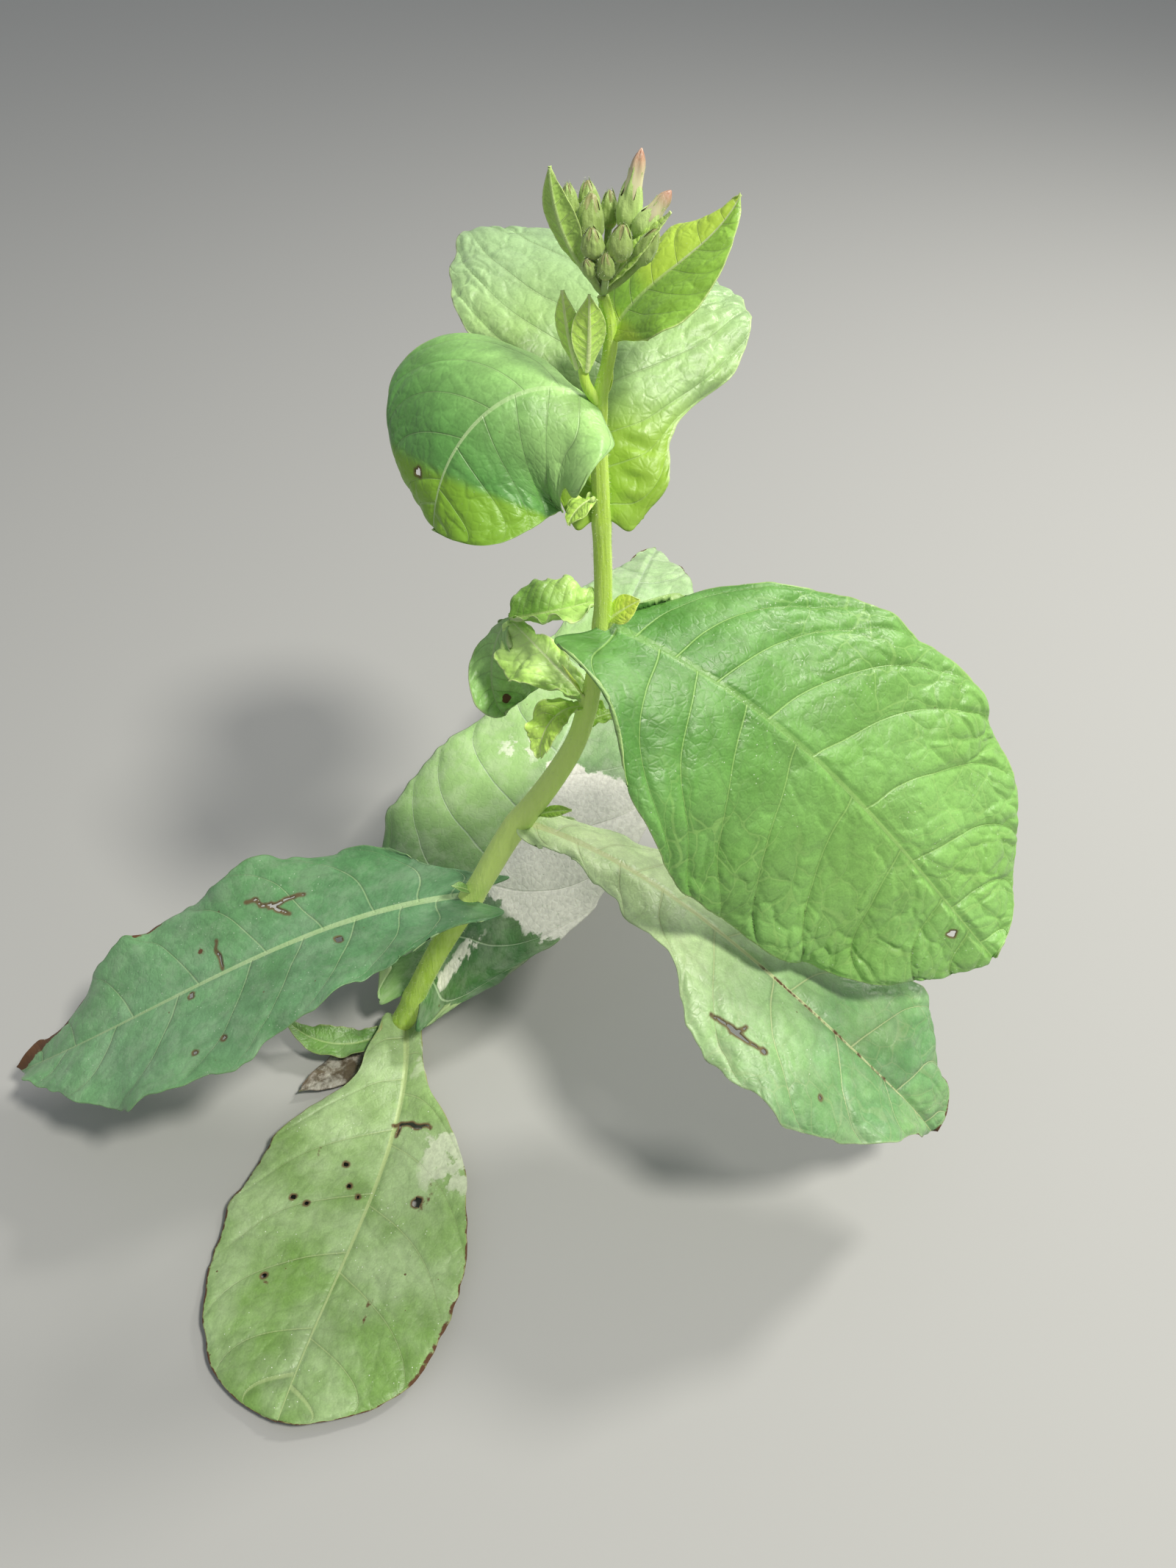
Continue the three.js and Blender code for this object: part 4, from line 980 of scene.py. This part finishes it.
# Each leaf's colours: base, tip, bright, painted sunlight, vein, rim; then mottle, net, side veins, specks
# and dust
LEAF_COLOURS = {
    "ground_leaf_front": ((0.28, 0.43, 0.16), (0.18, 0.33, 0.075), (0.44, 0.58, 0.32), (0.3, 0.45, 0.15),
                          (0.44, 0.56, 0.24), (0.33, 0.30, 0.12), 0.6, 0.12, 0.5, 0.9, 0.08),
    # The rear ground leaf's dark base green is painted shade, and its light tip green painted sunlight
    "ground_leaf_rear": ((0.07, 0.20, 0.06), (0.40, 0.61, 0.29), (0.50, 0.68, 0.34), (0.44, 0.70, 0.25),
                         (0.44, 0.60, 0.36), (0.32, 0.42, 0.22), 0.25, 0.3, 0.8, 0.5, 0.12),
    "lower_leaf_left": ((0.08, 0.23, 0.08), (0.17, 0.37, 0.16), (0.19, 0.37, 0.20), (0.2, 0.4, 0.1),
                        (0.34, 0.50, 0.24), (0.16, 0.30, 0.12), 0.4, 0.1, 0.5, 0.6, 0.06),
    # The lower right leaf's pale base green is painted sunlight where the great leaf above shades it
    "lower_leaf_right": ((0.78, 0.95, 0.52), (0.13, 0.31, 0.11), (0.30, 0.50, 0.18), (0.4, 0.6, 0.25),
                         (0.62, 0.68, 0.34), (0.36, 0.48, 0.24), 0.4, 0.12, 0.45, 0.5, 0.06),
    "crinkled_leaf": ((0.50, 0.82, 0.14), (0.46, 0.78, 0.13), (0.66, 0.92, 0.34), (0.56, 0.78, 0.28),
                      (0.74, 0.86, 0.46), (0.66, 0.80, 0.34), 0.5, 0.3, 0.5, 0.3, 0.0),
    "crinkled_lobe": ((0.26, 0.54, 0.07), (0.46, 0.72, 0.18), (0.44, 0.68, 0.18), (0.40, 0.60, 0.10),
                      (0.46, 0.64, 0.20), (0.58, 0.66, 0.34), 0.4, 0.25, 0.4, 0.2, 0.0),
    "crinkled_tip": ((0.28, 0.54, 0.14), (0.28, 0.56, 0.13), (0.38, 0.64, 0.24), (0.3, 0.5, 0.1),
                     (0.36, 0.54, 0.22), (0.36, 0.42, 0.22), 0.4, 0.2, 0.4, 0.7, 0.0),
    "great_leaf_right": ((0.08, 0.245, 0.037), (0.22, 0.45, 0.10), (0.24, 0.48, 0.14), (0.2, 0.4, 0.1),
                         (0.32, 0.55, 0.15), (0.40, 0.57, 0.20), 0.35, 0.4, 0.6, 0.35, 0.0),
    "rear_upper_leaf": ((0.34, 0.54, 0.13), (0.30, 0.46, 0.22), (0.36, 0.53, 0.28), (0.30, 0.50, 0.05),
                        (0.46, 0.62, 0.28), (0.56, 0.70, 0.34), 0.4, 0.12, 0.3, 0.2, 0.0),
    # The upper left leaf's dark tip green is painted shade across its middle; its lower tip gets painted
    # sunlight
    "upper_leaf_left": ((0.36, 0.60, 0.20), (0.10, 0.30, 0.06), (0.17, 0.40, 0.10), (0.22, 0.44, 0.03),
                        (0.46, 0.64, 0.30), (0.34, 0.56, 0.14), 0.4, 0.1, 0.3, 0.25, 0.0),
    "top_leaf_right": ((0.22, 0.42, 0.05), (0.24, 0.45, 0.05), (0.26, 0.47, 0.08), (0.40, 0.58, 0.06),
                       (0.46, 0.54, 0.28), (0.50, 0.62, 0.22), 0.3, 0.08, 0.25, 0.2, 0.0),
    "young": ((0.34, 0.58, 0.08), (0.34, 0.58, 0.08), (0.44, 0.66, 0.14), (0.36, 0.55, 0.08),
              (0.52, 0.72, 0.24), (0.56, 0.72, 0.24), 0.5, 0.15, 0.4, 0.2, 0.0),
    # The bright finish is lifted above the young leaves' own lime as painted light shining through them
    "bright": ((0.50, 0.82, 0.10), (0.56, 0.86, 0.12), (0.66, 0.92, 0.26), (0.6, 0.8, 0.1),
               (0.78, 0.92, 0.40), (0.74, 0.90, 0.36), 0.5, 0.25, 0.5, 0.1, 0.0),
    "yellow": ((0.56, 0.80, 0.10), (0.66, 0.84, 0.08), (0.72, 0.88, 0.16), (0.6, 0.7, 0.1),
               (0.76, 0.90, 0.34), (0.70, 0.84, 0.28), 0.5, 0.2, 0.4, 0.9, 0.0),
    "mid": ((0.11, 0.26, 0.05), (0.13, 0.28, 0.05), (0.16, 0.32, 0.08), (0.2, 0.4, 0.1),
            (0.28, 0.42, 0.14), (0.26, 0.34, 0.12), 0.5, 0.2, 0.5, 0.5, 0.06),
    "dead": ((0.075, 0.06, 0.04), (0.10, 0.075, 0.045), (0.15, 0.12, 0.08), (0.1, 0.08, 0.05),
             (0.16, 0.13, 0.09), (0.12, 0.09, 0.06), 0.8, 0.3, 0.5, 0.8, 0.4),
}

# The slot of each leaf's finish
LEAF_SLOTS = {
    "ground_leaf_front": "leaf_yellow", "ground_leaf_rear": "leaf_old", "lower_leaf_left": "leaf_old",
    "lower_leaf_right": "leaf_mid", "crinkled_leaf": "leaf_young", "crinkled_lobe": "leaf_young",
    "crinkled_tip": "leaf_young", "great_leaf_right": "leaf_mid",
    "rear_upper_leaf": "leaf_young", "upper_leaf_left": "leaf_young", "top_leaf_right": "leaf_young",
    "young": "leaf_young", "bright": "leaf_young", "yellow": "leaf_yellow", "mid": "leaf_mid",
    "dead": "leaf_dead",
}

# How much of its pale colour a midrib has near the base, and how much dew with painted glints lies on a leaf
GREEN_RIBS = {"great_leaf_right": 0.3, "upper_leaf_left": 0.55, "top_leaf_right": 0.5, "rear_upper_leaf": 0.6}
DEW_AND_GLINTS = {"ground_leaf_front": 1.0, "great_leaf_right": 0.55, "lower_leaf_left": 0.5, "lower_leaf_right": 0.5}

# The pale green that undersides are drawn toward, and the film on the front ground leaf
UNDERSIDE = (0.48, 0.62, 0.26)
FRONT_FILM = (0.56, 0.63, 0.45)


def paler(colour, share):
    """A colour drawn toward the green of the undersides."""
    return tuple((1 - share) * c + share * p for c, p in zip(colour, UNDERSIDE))


def dress_leaf(piece, key):
    """Gives a leaf its upper and lower finishes."""
    film = FRONT_FILM if key == "ground_leaf_front" else colours().mud
    upper = bpy.data.materials.get("upper_" + key)
    lower = bpy.data.materials.get("under_" + key)
    if upper is None:
        greens = LEAF_COLOURS[key][:6]
        patterns = LEAF_COLOURS[key][6:]
        upper = leaf_material("upper_" + key, *greens, *patterns, film, DEW_AND_GLINTS.get(key, 0.15),
                              GREEN_RIBS.get(key, 1.0))
        share = 0.12 if LEAF_SLOTS[key] in ("leaf_young", "leaf_yellow") else 0.35
        base, tip, bright, painted_light, vein, rim = [paler(colour, share) for colour in greens]
        mottle, net, veins, specks, dust = patterns
        lower = leaf_material("under_" + key, base, tip, bright, painted_light, paler(vein, share), rim, mottle,
                              net + 0.2, min(1, veins + 0.3), specks * 0.4, dust * 0.5, film, 0.0, 1.0)
    piece.data.materials.append(upper)
    piece.data.materials.append(lower)


def leaf_marks(name, leaf, s, v, x, y):
    """The marks of one leaf at its places: its stains, dried margin and mud film, and painted sunlight on it.
    """
    zero = np.zeros(s.shape)
    dried, mud, painted_light = zero, zero, zero
    u = np.abs(v)
    width = half_width(leaf, s, np.where(v < 0, -1.0, 1.0))
    inward = (1 - u) * width
    if name == "ground_leaf_front":
        dried = ease(3.0, 0.0, inward) * ease(0.2, 0.5, s) * 0.7
        film = ease(0.30, 0.33, s) * ease(0.50, 0.42, s) * ease(0.25, 0.6, v)
        mud = np.maximum(0.6 * film, 0.42 * ease(0.3, 0.1, s) * ease(0.0, 0.3, v))
        for sa, va, sb, vb, r in STAINS:
            ax, ay = sa * leaf["len"], va * STAINED_WIDTH
            bx, by = sb * leaf["len"], vb * STAINED_WIDTH
            part = share_along(x, y, ax, ay, bx, by)
            far = np.hypot(x - ax - part * (bx - ax), y - ay - part * (by - ay))
            dried = np.maximum(dried, 0.55 * ease(r, 0.3 * r, far))
        margin = 0.7 * ease(4, 1, inward) * ease(0.6, 0.7, s) * ease(0.95, 0.85, s) * ease(0, 0.2, v)
        dried = np.maximum(dried, margin)
    if name == "lower_leaf_left":
        dried = ease(8.0, 1.0, inward) * ease(0.72, 0.84, s) * ease(0.1, -0.1, v)
        edge = ease(5.0, 0.5, inward) * ease(0.56, 0.6, s) * ease(0.67, 0.64, s) * ease(0.1, -0.1, v)
        dried = np.maximum(dried, 0.8 * edge)
        dried = np.maximum(dried, 0.7 * ease(5, 1, np.hypot(x - 0.515 * leaf["len"], (y + 18) * 0.6)))
    if name == "ground_leaf_rear":
        patch = ease(0.27, 0.32, s) * ease(0.44, 0.40, s) * ease(0.12, -0.05, v)
        middle = ease(0.16, 0.19, s) * ease(0.34, 0.28, s) * ease(0.15, -0.1, v) * 0.9
        strip = ease(0.02, 0.05, s) * ease(0.16, 0.1, s) * np.exp(-((v + 0.33) / 0.16) ** 2) * 0.8
        flakes = 0.45 * np.exp(-((s - 0.42) / 0.05) ** 2 - ((v - 0.35) / 0.3) ** 2)
        mud = np.maximum.reduce([patch, middle, strip, flakes])
        # Painted sunlight on the rear ground leaf's lit middle, and a brighter green at its base ear
        painted_light = 0.75 * ease(0.14, 0.3, s) * ease(0.85, 0.65, s) * ease(-0.1, 0.2, v)
        painted_light = np.maximum(painted_light, 0.5 * ease(0.07, 0.02, s) * ease(0.2, 0.6, v))
        dried = ease(2.5, 0.0, inward) * ease(0.8, 0.9, s) * 0.7
    if name == "lower_leaf_right":
        dried = 0.6 * ease(3.0, 0.0, inward) * ease(0.75, 0.95, s)
        browned = 0.55 * ease(2.6, 0.8, np.abs(y)) * ease(0.44, 0.52, s) * ease(1.0, 0.8, s)
        dried = np.maximum(dried, browned)
    if name == "crinkled_tip":
        dried = ease(4.5, 1.5, np.hypot(x - 0.86 * leaf["len"], y - 6))
    # Painted sunlight shining on or through the upper leaves
    if name == "crinkled_leaf":
        painted_light = ease(1.2, 0.2, u) * 0.7
    if name == "upper_leaf_left":
        painted_light = ease(0.74, 0.80, s + 0.05 * v)
    if name == "rear_upper_leaf":
        painted_light = ease(0.30, 0.16, s)
    if name == "top_leaf_right":
        painted_light = np.maximum(ease(-0.1, 0.1, v) * ease(0.25, 0.4, s), ease(0.16, 0.08, s))
    return {"dried": dried, "mud": mud, "painted_light": painted_light}


# Tubes, buds and hairs

def tube_mesh(name, points, radii, around, rings, shape=None):
    """A closed limb along points with a radius at each. shape adds to the radius by angle and place."""
    mesh, px, t = grid_mesh(name, around, rings)
    knots = np.arange(len(points)) / (len(points) - 1)
    points = np.asarray(points, float)
    angle = np.pi * px
    centre = np.stack([smooth_at(knots, points[:, k], t) for k in range(3)], -1)
    ahead = np.stack([smooth_at(knots, points[:, k], np.clip(t + 0.002, 0, 1))
                      - smooth_at(knots, points[:, k], np.clip(t - 0.002, 0, 1)) for k in range(3)], -1)
    ahead = ahead / np.linalg.norm(ahead, axis=-1)[:, None]
    side = np.cross(np.array([0.0, 1.0, 0.0]), ahead)
    side = side / np.maximum(np.linalg.norm(side, axis=-1), 1e-6)[:, None]
    front = np.cross(ahead, side)
    r = smooth_at(knots, radii, t)
    if shape is not None:
        r = r + shape(angle, centre)
    out = side * np.cos(angle)[:, None] + front * np.sin(angle)[:, None]
    set_points(mesh, centre + out * r[:, None])
    close_tube(mesh)
    return mesh


def close_tube(mesh):
    """Joins a wrapped grid along its seam, fills its two ends and turns its faces outward."""
    bm = bmesh.new()
    bm.from_mesh(mesh)
    bmesh.ops.remove_doubles(bm, verts=bm.verts, dist=1e-7)
    open_edges = [e for e in bm.edges if e.is_boundary]
    bmesh.ops.holes_fill(bm, edges=open_edges, sides=0)
    bmesh.ops.recalc_face_normals(bm, faces=bm.faces)
    bm.to_mesh(mesh)
    bm.free()


def join_meshes(name, meshes, slots):
    """One mesh from several, each with its own finish."""
    bm = bmesh.new()
    for mesh, slot in zip(meshes, slots):
        first = len(bm.faces)
        bm.from_mesh(mesh)
        bm.faces.ensure_lookup_table()
        for face in bm.faces[first:]:
            face.material_index = slot
            face.smooth = True
        bpy.data.meshes.remove(mesh)
    joined = bpy.data.meshes.new(name)
    bm.to_mesh(joined)
    bm.free()
    return joined


def stem_x(z):
    """Middle of the stem at a height."""
    return smooth_at(STEM[:, 1], STEM[:, 0], z)


def stem_relief(angle, centre):
    """Ribs, node swellings and the knobbly foot of the stem."""
    z = centre[:, 2]
    more = 0.12 * lap(angle, 2.2, z / 38, 3) + 0.1 * lap(angle, 4, z / 15, 4)
    for leaf in LEAVES.values():
        low = z - leaf["node"]
        more = more + (0.25 + 0.001 * leaf["len"]) * np.exp(-((low + 2) / 5.5) ** 2)
        heading = np.radians(leaf["az"][0])
        face = np.cos(angle - heading)
        fade = ease(-46, -8, low) * ease(2, -2, low)
        more = more + 0.5 * fade * np.exp(-((face - 0.55) / 0.22) ** 2)
    more = more + 0.9 * lap(angle, 1.6, z / 6, 8) * ease(16, 2, z)
    more = more - 0.4 * ease(100, 180, z) * ease(370, 310, z)
    return more


def bud_meshes(name, foot, tip, radius, opened, seed):
    """A bud's calyx with its teeth, and the petals that show between and above them."""
    foot = np.array(foot, float)
    tip = np.array(tip, float)
    long = float(np.linalg.norm(tip - foot))
    ahead = (tip - foot) / long
    side = np.cross(np.array([0.0, 1.0, 0.0]), ahead)
    side = side / np.linalg.norm(side)
    front = np.cross(ahead, side)
    mesh, px, t = grid_mesh(name + "_calyx", TEETH * CELLS_PER_TOOTH, 30)
    turn = (px + 1) / 2 * TEETH
    tooth = np.floor(np.clip(turn, 0, TEETH - 1e-6))
    within = turn - tooth - 0.5
    split = 0.70 if opened == 0 else 0.55
    taper = np.where(t > split, np.power(np.clip((1 - t) / (1 - split), 0, 1), 0.75), 1.0)
    angle = 2 * np.pi * (tooth + 0.5 + within * np.maximum(taper, 0.04)) / TEETH + seed
    share = 1.0 if opened == 0 else 1 - opened * 0.7
    r = smooth_at(*CALYX_OUTLINE, t) * radius
    if opened > 0:
        r = np.where(t > 0.55, np.maximum(r, 0.60 * radius), r)
    rib = np.cos(angle * 10 - seed * 10)
    r = r * (1 + 0.035 * rib * ease(0.05, 0.3, t) + 0.05 * np.cos(2 * np.pi * within) * ease(0.5, 0.9, t))
    r = r + 0.06 * radius * lap(angle, 1.5, t * 6, seed)
    out = side * np.cos(angle)[:, None] + front * np.sin(angle)[:, None]
    reach = long * share * t * (1 + 0.05 * wander(tooth, tooth * 0, seed + 2) * ease(0.7, 1, t))
    set_points(mesh, foot + ahead * reach[:, None] + out * r[:, None])
    bm = bmesh.new()
    bm.from_mesh(mesh)
    bm.verts.ensure_lookup_table()
    gone = []
    for face in bm.faces:
        corners = [c.index for c in face.verts]
        if min(t[c] for c in corners) < split - 1e-6:
            continue
        outer = max(abs(within[c]) for c in corners) > 0.5 - 0.5 / CELLS_PER_TOOTH - 1e-6
        if outer and len({tooth[c] for c in corners}) > 1:
            gone.append(face)
    bmesh.ops.delete(bm, geom=gone, context="FACES")
    bmesh.ops.remove_doubles(bm, verts=bm.verts, dist=1e-6)
    bmesh.ops.recalc_face_normals(bm, faces=bm.faces)
    bm.to_mesh(mesh)
    bm.free()
    core, cx, ct = grid_mesh(name + "_petals", 40, 24)
    angle = np.pi * cx
    top = 0.97 if opened == 0 else 1.0
    r = smooth_at(*(OPENED_OUTLINE if opened > 0 else CLOSED_OUTLINE), ct) * radius
    r = r * (1 + 0.14 * np.cos(5 * angle + 7 * ct) * ease(0.5, 0.9, ct))
    out = side * np.cos(angle)[:, None] + front * np.sin(angle)[:, None]
    set_points(core, foot + ahead * (long * top * ct)[:, None] + out * r[:, None])
    mark(core, "along", ct)
    close_tube(core)
    return mesh, core


def hair_mesh(name, roots, ways, length, width, seed):
    """Fine tapering hairs, one narrow face each, from roots along ways."""
    count = len(roots)
    rows = max(1, int(math.sqrt(count)))
    mesh, _, _ = grid_mesh(name, rows, max(1, count // rows))
    bm = bmesh.new()
    bm.from_mesh(mesh)
    bmesh.ops.split_edges(bm, edges=bm.edges)
    rng = np.random.default_rng(seed)
    total = len(bm.faces)
    picks = rng.permutation(count)[:total] if count >= total else rng.integers(0, count, total)
    lean = rng.normal(size=(total, 3)) * 0.45
    scale = rng.uniform(0.5, 1.15, total)
    for i, face in enumerate(bm.faces):
        root = roots[picks[i]]
        way = ways[picks[i]] + lean[i]
        way = way / np.linalg.norm(way)
        cross = np.cross(way, lean[i])
        cross = cross / max(np.linalg.norm(cross), 1e-6) * width * 0.5
        tip = root + way * length * scale[i]
        corners = (root - cross, root + cross, tip + cross * 0.2, tip - cross * 0.2)
        for corner, point in zip(face.verts, corners):
            corner.co = Vector(point * MM)
    bm.to_mesh(mesh)
    bm.free()
    return mesh


def surface_roots(mesh, count, seed, low=-1e9):
    """Random roots on a mesh in millimetres, with the outward way at each, above a height."""
    points = np.empty(len(mesh.vertices) * 3, np.float32)
    mesh.vertices.foreach_get("co", points)
    normals = np.empty(len(mesh.vertices) * 3, np.float32)
    mesh.vertex_normals.foreach_get("vector", normals)
    points = points.reshape(-1, 3) / MM
    normals = normals.reshape(-1, 3)
    rng = np.random.default_rng(seed)
    chosen = rng.integers(0, len(points), count)
    chosen = chosen[points[chosen, 2] > low]
    near = points[chosen] + rng.normal(size=(len(chosen), 3)) * 0.25
    return near - normals[chosen] * 0.15, normals[chosen]


class PLANT_OT_camera(bpy.types.Operator):
    """Camera at the photograph's viewing angle"""
    bl_idname = "plant.camera"
    bl_label = "Camera"

    def execute(self, context):
        data = bpy.data.cameras.new("camera")
        data.sensor_fit = "VERTICAL"
        data.sensor_height = SENSOR_HEIGHT
        data.lens = SENSOR_HEIGHT * FOCAL_PIXELS / PHOTO_HEIGHT
        data.clip_start = 0.01
        camera = bpy.data.objects.new("camera", data)
        camera.location = CAMERA_PLACE
        camera.rotation_euler = (math.radians(CAMERA_TILT), 0, 0)
        context.scene.collection.objects.link(camera)
        context.scene.camera = camera
        return {"FINISHED"}


class PLANT_OT_stage(bpy.types.Operator):
    """Plain pale floor and soft studio lights"""
    bl_idname = "plant.stage"
    bl_label = "Stage"

    def execute(self, context):
        bm = bmesh.new()
        bmesh.ops.create_circle(bm, cap_ends=True, segments=96, radius=FLOOR_RADIUS)
        bmesh.ops.translate(bm, verts=bm.verts, vec=(0, 0, -FLOOR_DROP))
        mesh = bpy.data.meshes.new("floor")
        bm.to_mesh(mesh)
        bm.free()
        mesh.materials.append(plain_material("floor", colours().floor, 0.85))
        floor = bpy.data.objects.new("floor", mesh)
        context.scene.collection.objects.link(floor)
        world = bpy.data.worlds.new("studio")
        world.use_nodes = True
        sky = world.node_tree.nodes["Background"]
        sky.inputs["Color"].default_value = rgb(SKY)
        sky.inputs["Strength"].default_value = SKY_STRENGTH
        context.scene.world = world
        for name, place, aim, size, power, tint in LAMPS:
            lamp = bpy.data.lights.new(name, "AREA")
            lamp.shape = "DISK"
            lamp.size = size
            lamp.energy = power
            lamp.color = tint
            thing = bpy.data.objects.new(name, lamp)
            thing.location = place
            thing.rotation_euler = (Vector(aim) - Vector(place)).to_track_quat("-Z", "Y").to_euler()
            context.scene.collection.objects.link(thing)
        context.scene.view_settings.view_transform = "Standard"
        return {"FINISHED"}


class PLANT_OT_stem(bpy.types.Operator):
    """Stem with its ribs, node swellings, foot and fine hairs, and the side shoot's stalk"""
    bl_idname = "plant.stem"
    bl_label = "Stem"

    def execute(self, context):
        t = np.linspace(0, 1, 60)
        z = t ** 1.15 * STEM[-1, 1]
        line = np.stack([stem_x(z), 0 * z, z], -1)
        radii = smooth_at(STEM[:, 1], STEM[:, 2], z)
        stem = tube_mesh("stem", line, radii, *STEM_CELLS, stem_relief)
        low = np.empty(len(stem.vertices) * 3, np.float32)
        stem.vertices.foreach_get("co", low)
        low = low.reshape(-1, 3)
        low[:, 2] = np.maximum(low[:, 2], 0)
        stem.vertices.foreach_set("co", low.ravel())
        green = colours().stem
        # The pale green serves the stem's streaks and its band of painted light
        pale, foot = (0.76, 0.98, 0.30), (0.20, 0.14, 0.07)
        stem.materials.append(skin_material("stem_skin", green, pale, foot, sheen=0.1))
        roots, ways = surface_roots(stem, sizes().hair_count, 5, 8)
        piece = new_piece("stem_body", stem, ("stem",))
        stalk = tube_mesh("shoot_stalk", SHOOT, SHOOT_RADII, 32, 40)
        stalk.materials.append(piece.data.materials[0])
        stalk_piece = new_piece("shoot_stalk_body", stalk, ("side_shoot_stalk",))
        hairs = hair_mesh("stem_hairs", roots, ways, sizes().hair / MM, STEM_HAIR_WIDTH, 6)
        hairs.materials.append(hair_material())
        new_piece("stem_hairs", hairs)
        return {"FINISHED"}


class PLANT_OT_broad_leaves(bpy.types.Operator):
    """Nine broad leaves with their veins, quilts, holes and stains"""
    bl_idname = "plant.broad_leaves"
    bl_label = "Broad leaves"

    def execute(self, context):
        for i, (name, leaf) in enumerate(LEAVES.items()):
            foot = (float(stem_x(np.array(float(leaf["node"])))), 0, leaf["node"])
            dress_leaf(leaf_piece(name, leaf, foot, i + 1), name)
            if name == "crinkled_leaf":
                turn = midrib(leaf, np.array(foot))[-1]
                for k, (outer, sheet) in enumerate(FOLDED.items()):
                    dress_leaf(leaf_piece(outer, sheet, turn, 20 + k), outer)
        return {"FINISHED"}


class PLANT_OT_small_leaves(bpy.types.Operator):
    """Bracts, axil leaflets, side shoot leaves and basal leaves"""
    bl_idname = "plant.small_leaves"
    bl_label = "Small leaves"

    def execute(self, context):
        for i, (name, values) in enumerate(SMALL_LEAVES.items()):
            at, length, az, rise, half, fold, finish = values
            widths = list(SMALL_SHAPE * half)
            crumple, sharp = SMALL_FOLDS.get(name, SMALL_PLAIN)
            leaf = dict(
                len=length, az=[az[0], sum(az) / 2, az[1]], rise=[rise[0], sum(rise) / 2, rise[1]],
                roll=[SMALL_ROLLS.get(name, 0)] * 3, fold=[fold] * 3, curl=[fold] * 3,
                left=widths, right=widths, lobe=0, tip=0.8, wave=[0, 1],
                cell=0.28 if half < 8 else 0.45, veins=[0.25, 0.3, 3.2], crumple=crumple,
                sharp=sharp, creases=8)
            dress_leaf(leaf_piece(name, leaf, at, 30 + i), finish)
        return {"FINISHED"}


class PLANT_OT_flower_head(bpy.types.Operator):
    """Head of buds: their stalks, ribbed calyxes with teeth, petals and hairs"""
    bl_idname = "plant.flower_head"
    bl_label = "Flower head"

    def execute(self, context):
        stalks = []
        for foot, tip, _, _ in BUDS.values():
            foot = np.array(foot, float)
            way = np.array(tip, float) - foot
            start = np.array(HEAD, float)
            middle = start * 0.45 + foot * 0.55 + np.array([0, 0, -1.0])
            end = foot + way / np.linalg.norm(way) * 0.6
            stalks.append(tube_mesh("stalk", [start, middle, end], STALK_RADII, 16, 24))
        joined = join_meshes("flower_stalks", stalks, [0] * len(stalks))
        calyx = colours().calyx
        skin = skin_material("stalk_skin", calyx, (0.44, 0.56, 0.26), calyx)
        joined.materials.append(skin)
        piece = new_piece("flower_stalks_body", joined, ("flower_stalks",))
        pale = tuple(min(1, c * 1.45 + 0.05) for c in calyx)
        calyx_skin = skin_material("calyx_skin", calyx, pale, calyx, 0.6)
        # Buds with open petals get a lighter copy of the calyx green as painted sunlight; the plain calyx is
        # the shaded copy
        light = tuple(min(1, c * 1.8 + 0.1) for c in calyx)
        sunlit_calyx_skin = skin_material("painted_sunlit_calyx_skin", pale, light, calyx, 0.7)
        petal = petal_material("petal_skin", (0.72, 0.70, 0.40), colours().petal, (0.80, 0.66, 0.52))
        closed = petal_material(
            "closed_petal_skin", (0.36, 0.42, 0.14), (0.24, 0.22, 0.08), (0.46, 0.48, 0.22))
        hair_roots, hair_ways = [], []
        for i, (name, (foot, tip, radius, opened)) in enumerate(BUDS.items()):
            shell, core = bud_meshes(name, foot, tip, radius, opened, i + 1)
            roots, ways = surface_roots(shell, HAIRS_PER_BUD, 70 + i)
            hair_roots.append(roots)
            hair_ways.append(ways)
            mesh = join_meshes(name + "_body", [shell, core], [0, 1])
            mesh.materials.append(sunlit_calyx_skin if opened > 0 else calyx_skin)
            mesh.materials.append(petal if opened > 0 else closed)
            bud = new_piece(name + "_body", mesh, (name,))
        hairs = hair_mesh("bud_hairs", np.vstack(hair_roots), np.vstack(hair_ways), *BUD_HAIR_SIZE, 9)
        hairs.materials.append(hair_material())
        new_piece("bud_hairs", hairs)
        return {"FINISHED"}


class PLANT_PT_panel(bpy.types.Panel):
    """The plant's sizes, colours and pieces"""
    bl_idname = "PLANT_PT_panel"
    bl_label = "Tobacco plant"
    bl_space_type = "VIEW_3D"
    bl_region_type = "UI"
    bl_category = "Plant"

    def draw(self, context):
        for group in (context.scene.plant_sizes, context.scene.plant_colours):
            box = self.layout.box()
            for key in group.__annotations__:
                box.prop(group, key)
        for operator in OPERATORS:
            self.layout.operator(operator.bl_idname)


OPERATORS = (PLANT_OT_camera, PLANT_OT_stage, PLANT_OT_stem, PLANT_OT_broad_leaves, PLANT_OT_small_leaves,
             PLANT_OT_flower_head)
CLASSES = (PlantSizes, PlantColours) + OPERATORS + (PLANT_PT_panel,)


def register():
    """Registers the plant's classes and its settings."""
    for cls in CLASSES:
        bpy.utils.register_class(cls)
    bpy.types.Scene.plant_sizes = bpy.props.PointerProperty(type=PlantSizes)
    bpy.types.Scene.plant_colours = bpy.props.PointerProperty(type=PlantColours)


def unregister():
    """Removes what register added."""
    del bpy.types.Scene.plant_colours
    del bpy.types.Scene.plant_sizes
    for cls in reversed(CLASSES):
        bpy.utils.unregister_class(cls)


def main():
    """Builds the plant and its stage."""
    register()
    for step in ("camera", "stage", "stem", "broad_leaves", "small_leaves", "flower_head"):
        result = getattr(bpy.ops.plant, step)()
        if result != {"FINISHED"}:
            raise RuntimeError(step + " did not finish")


if __name__ == "__main__":
    main()
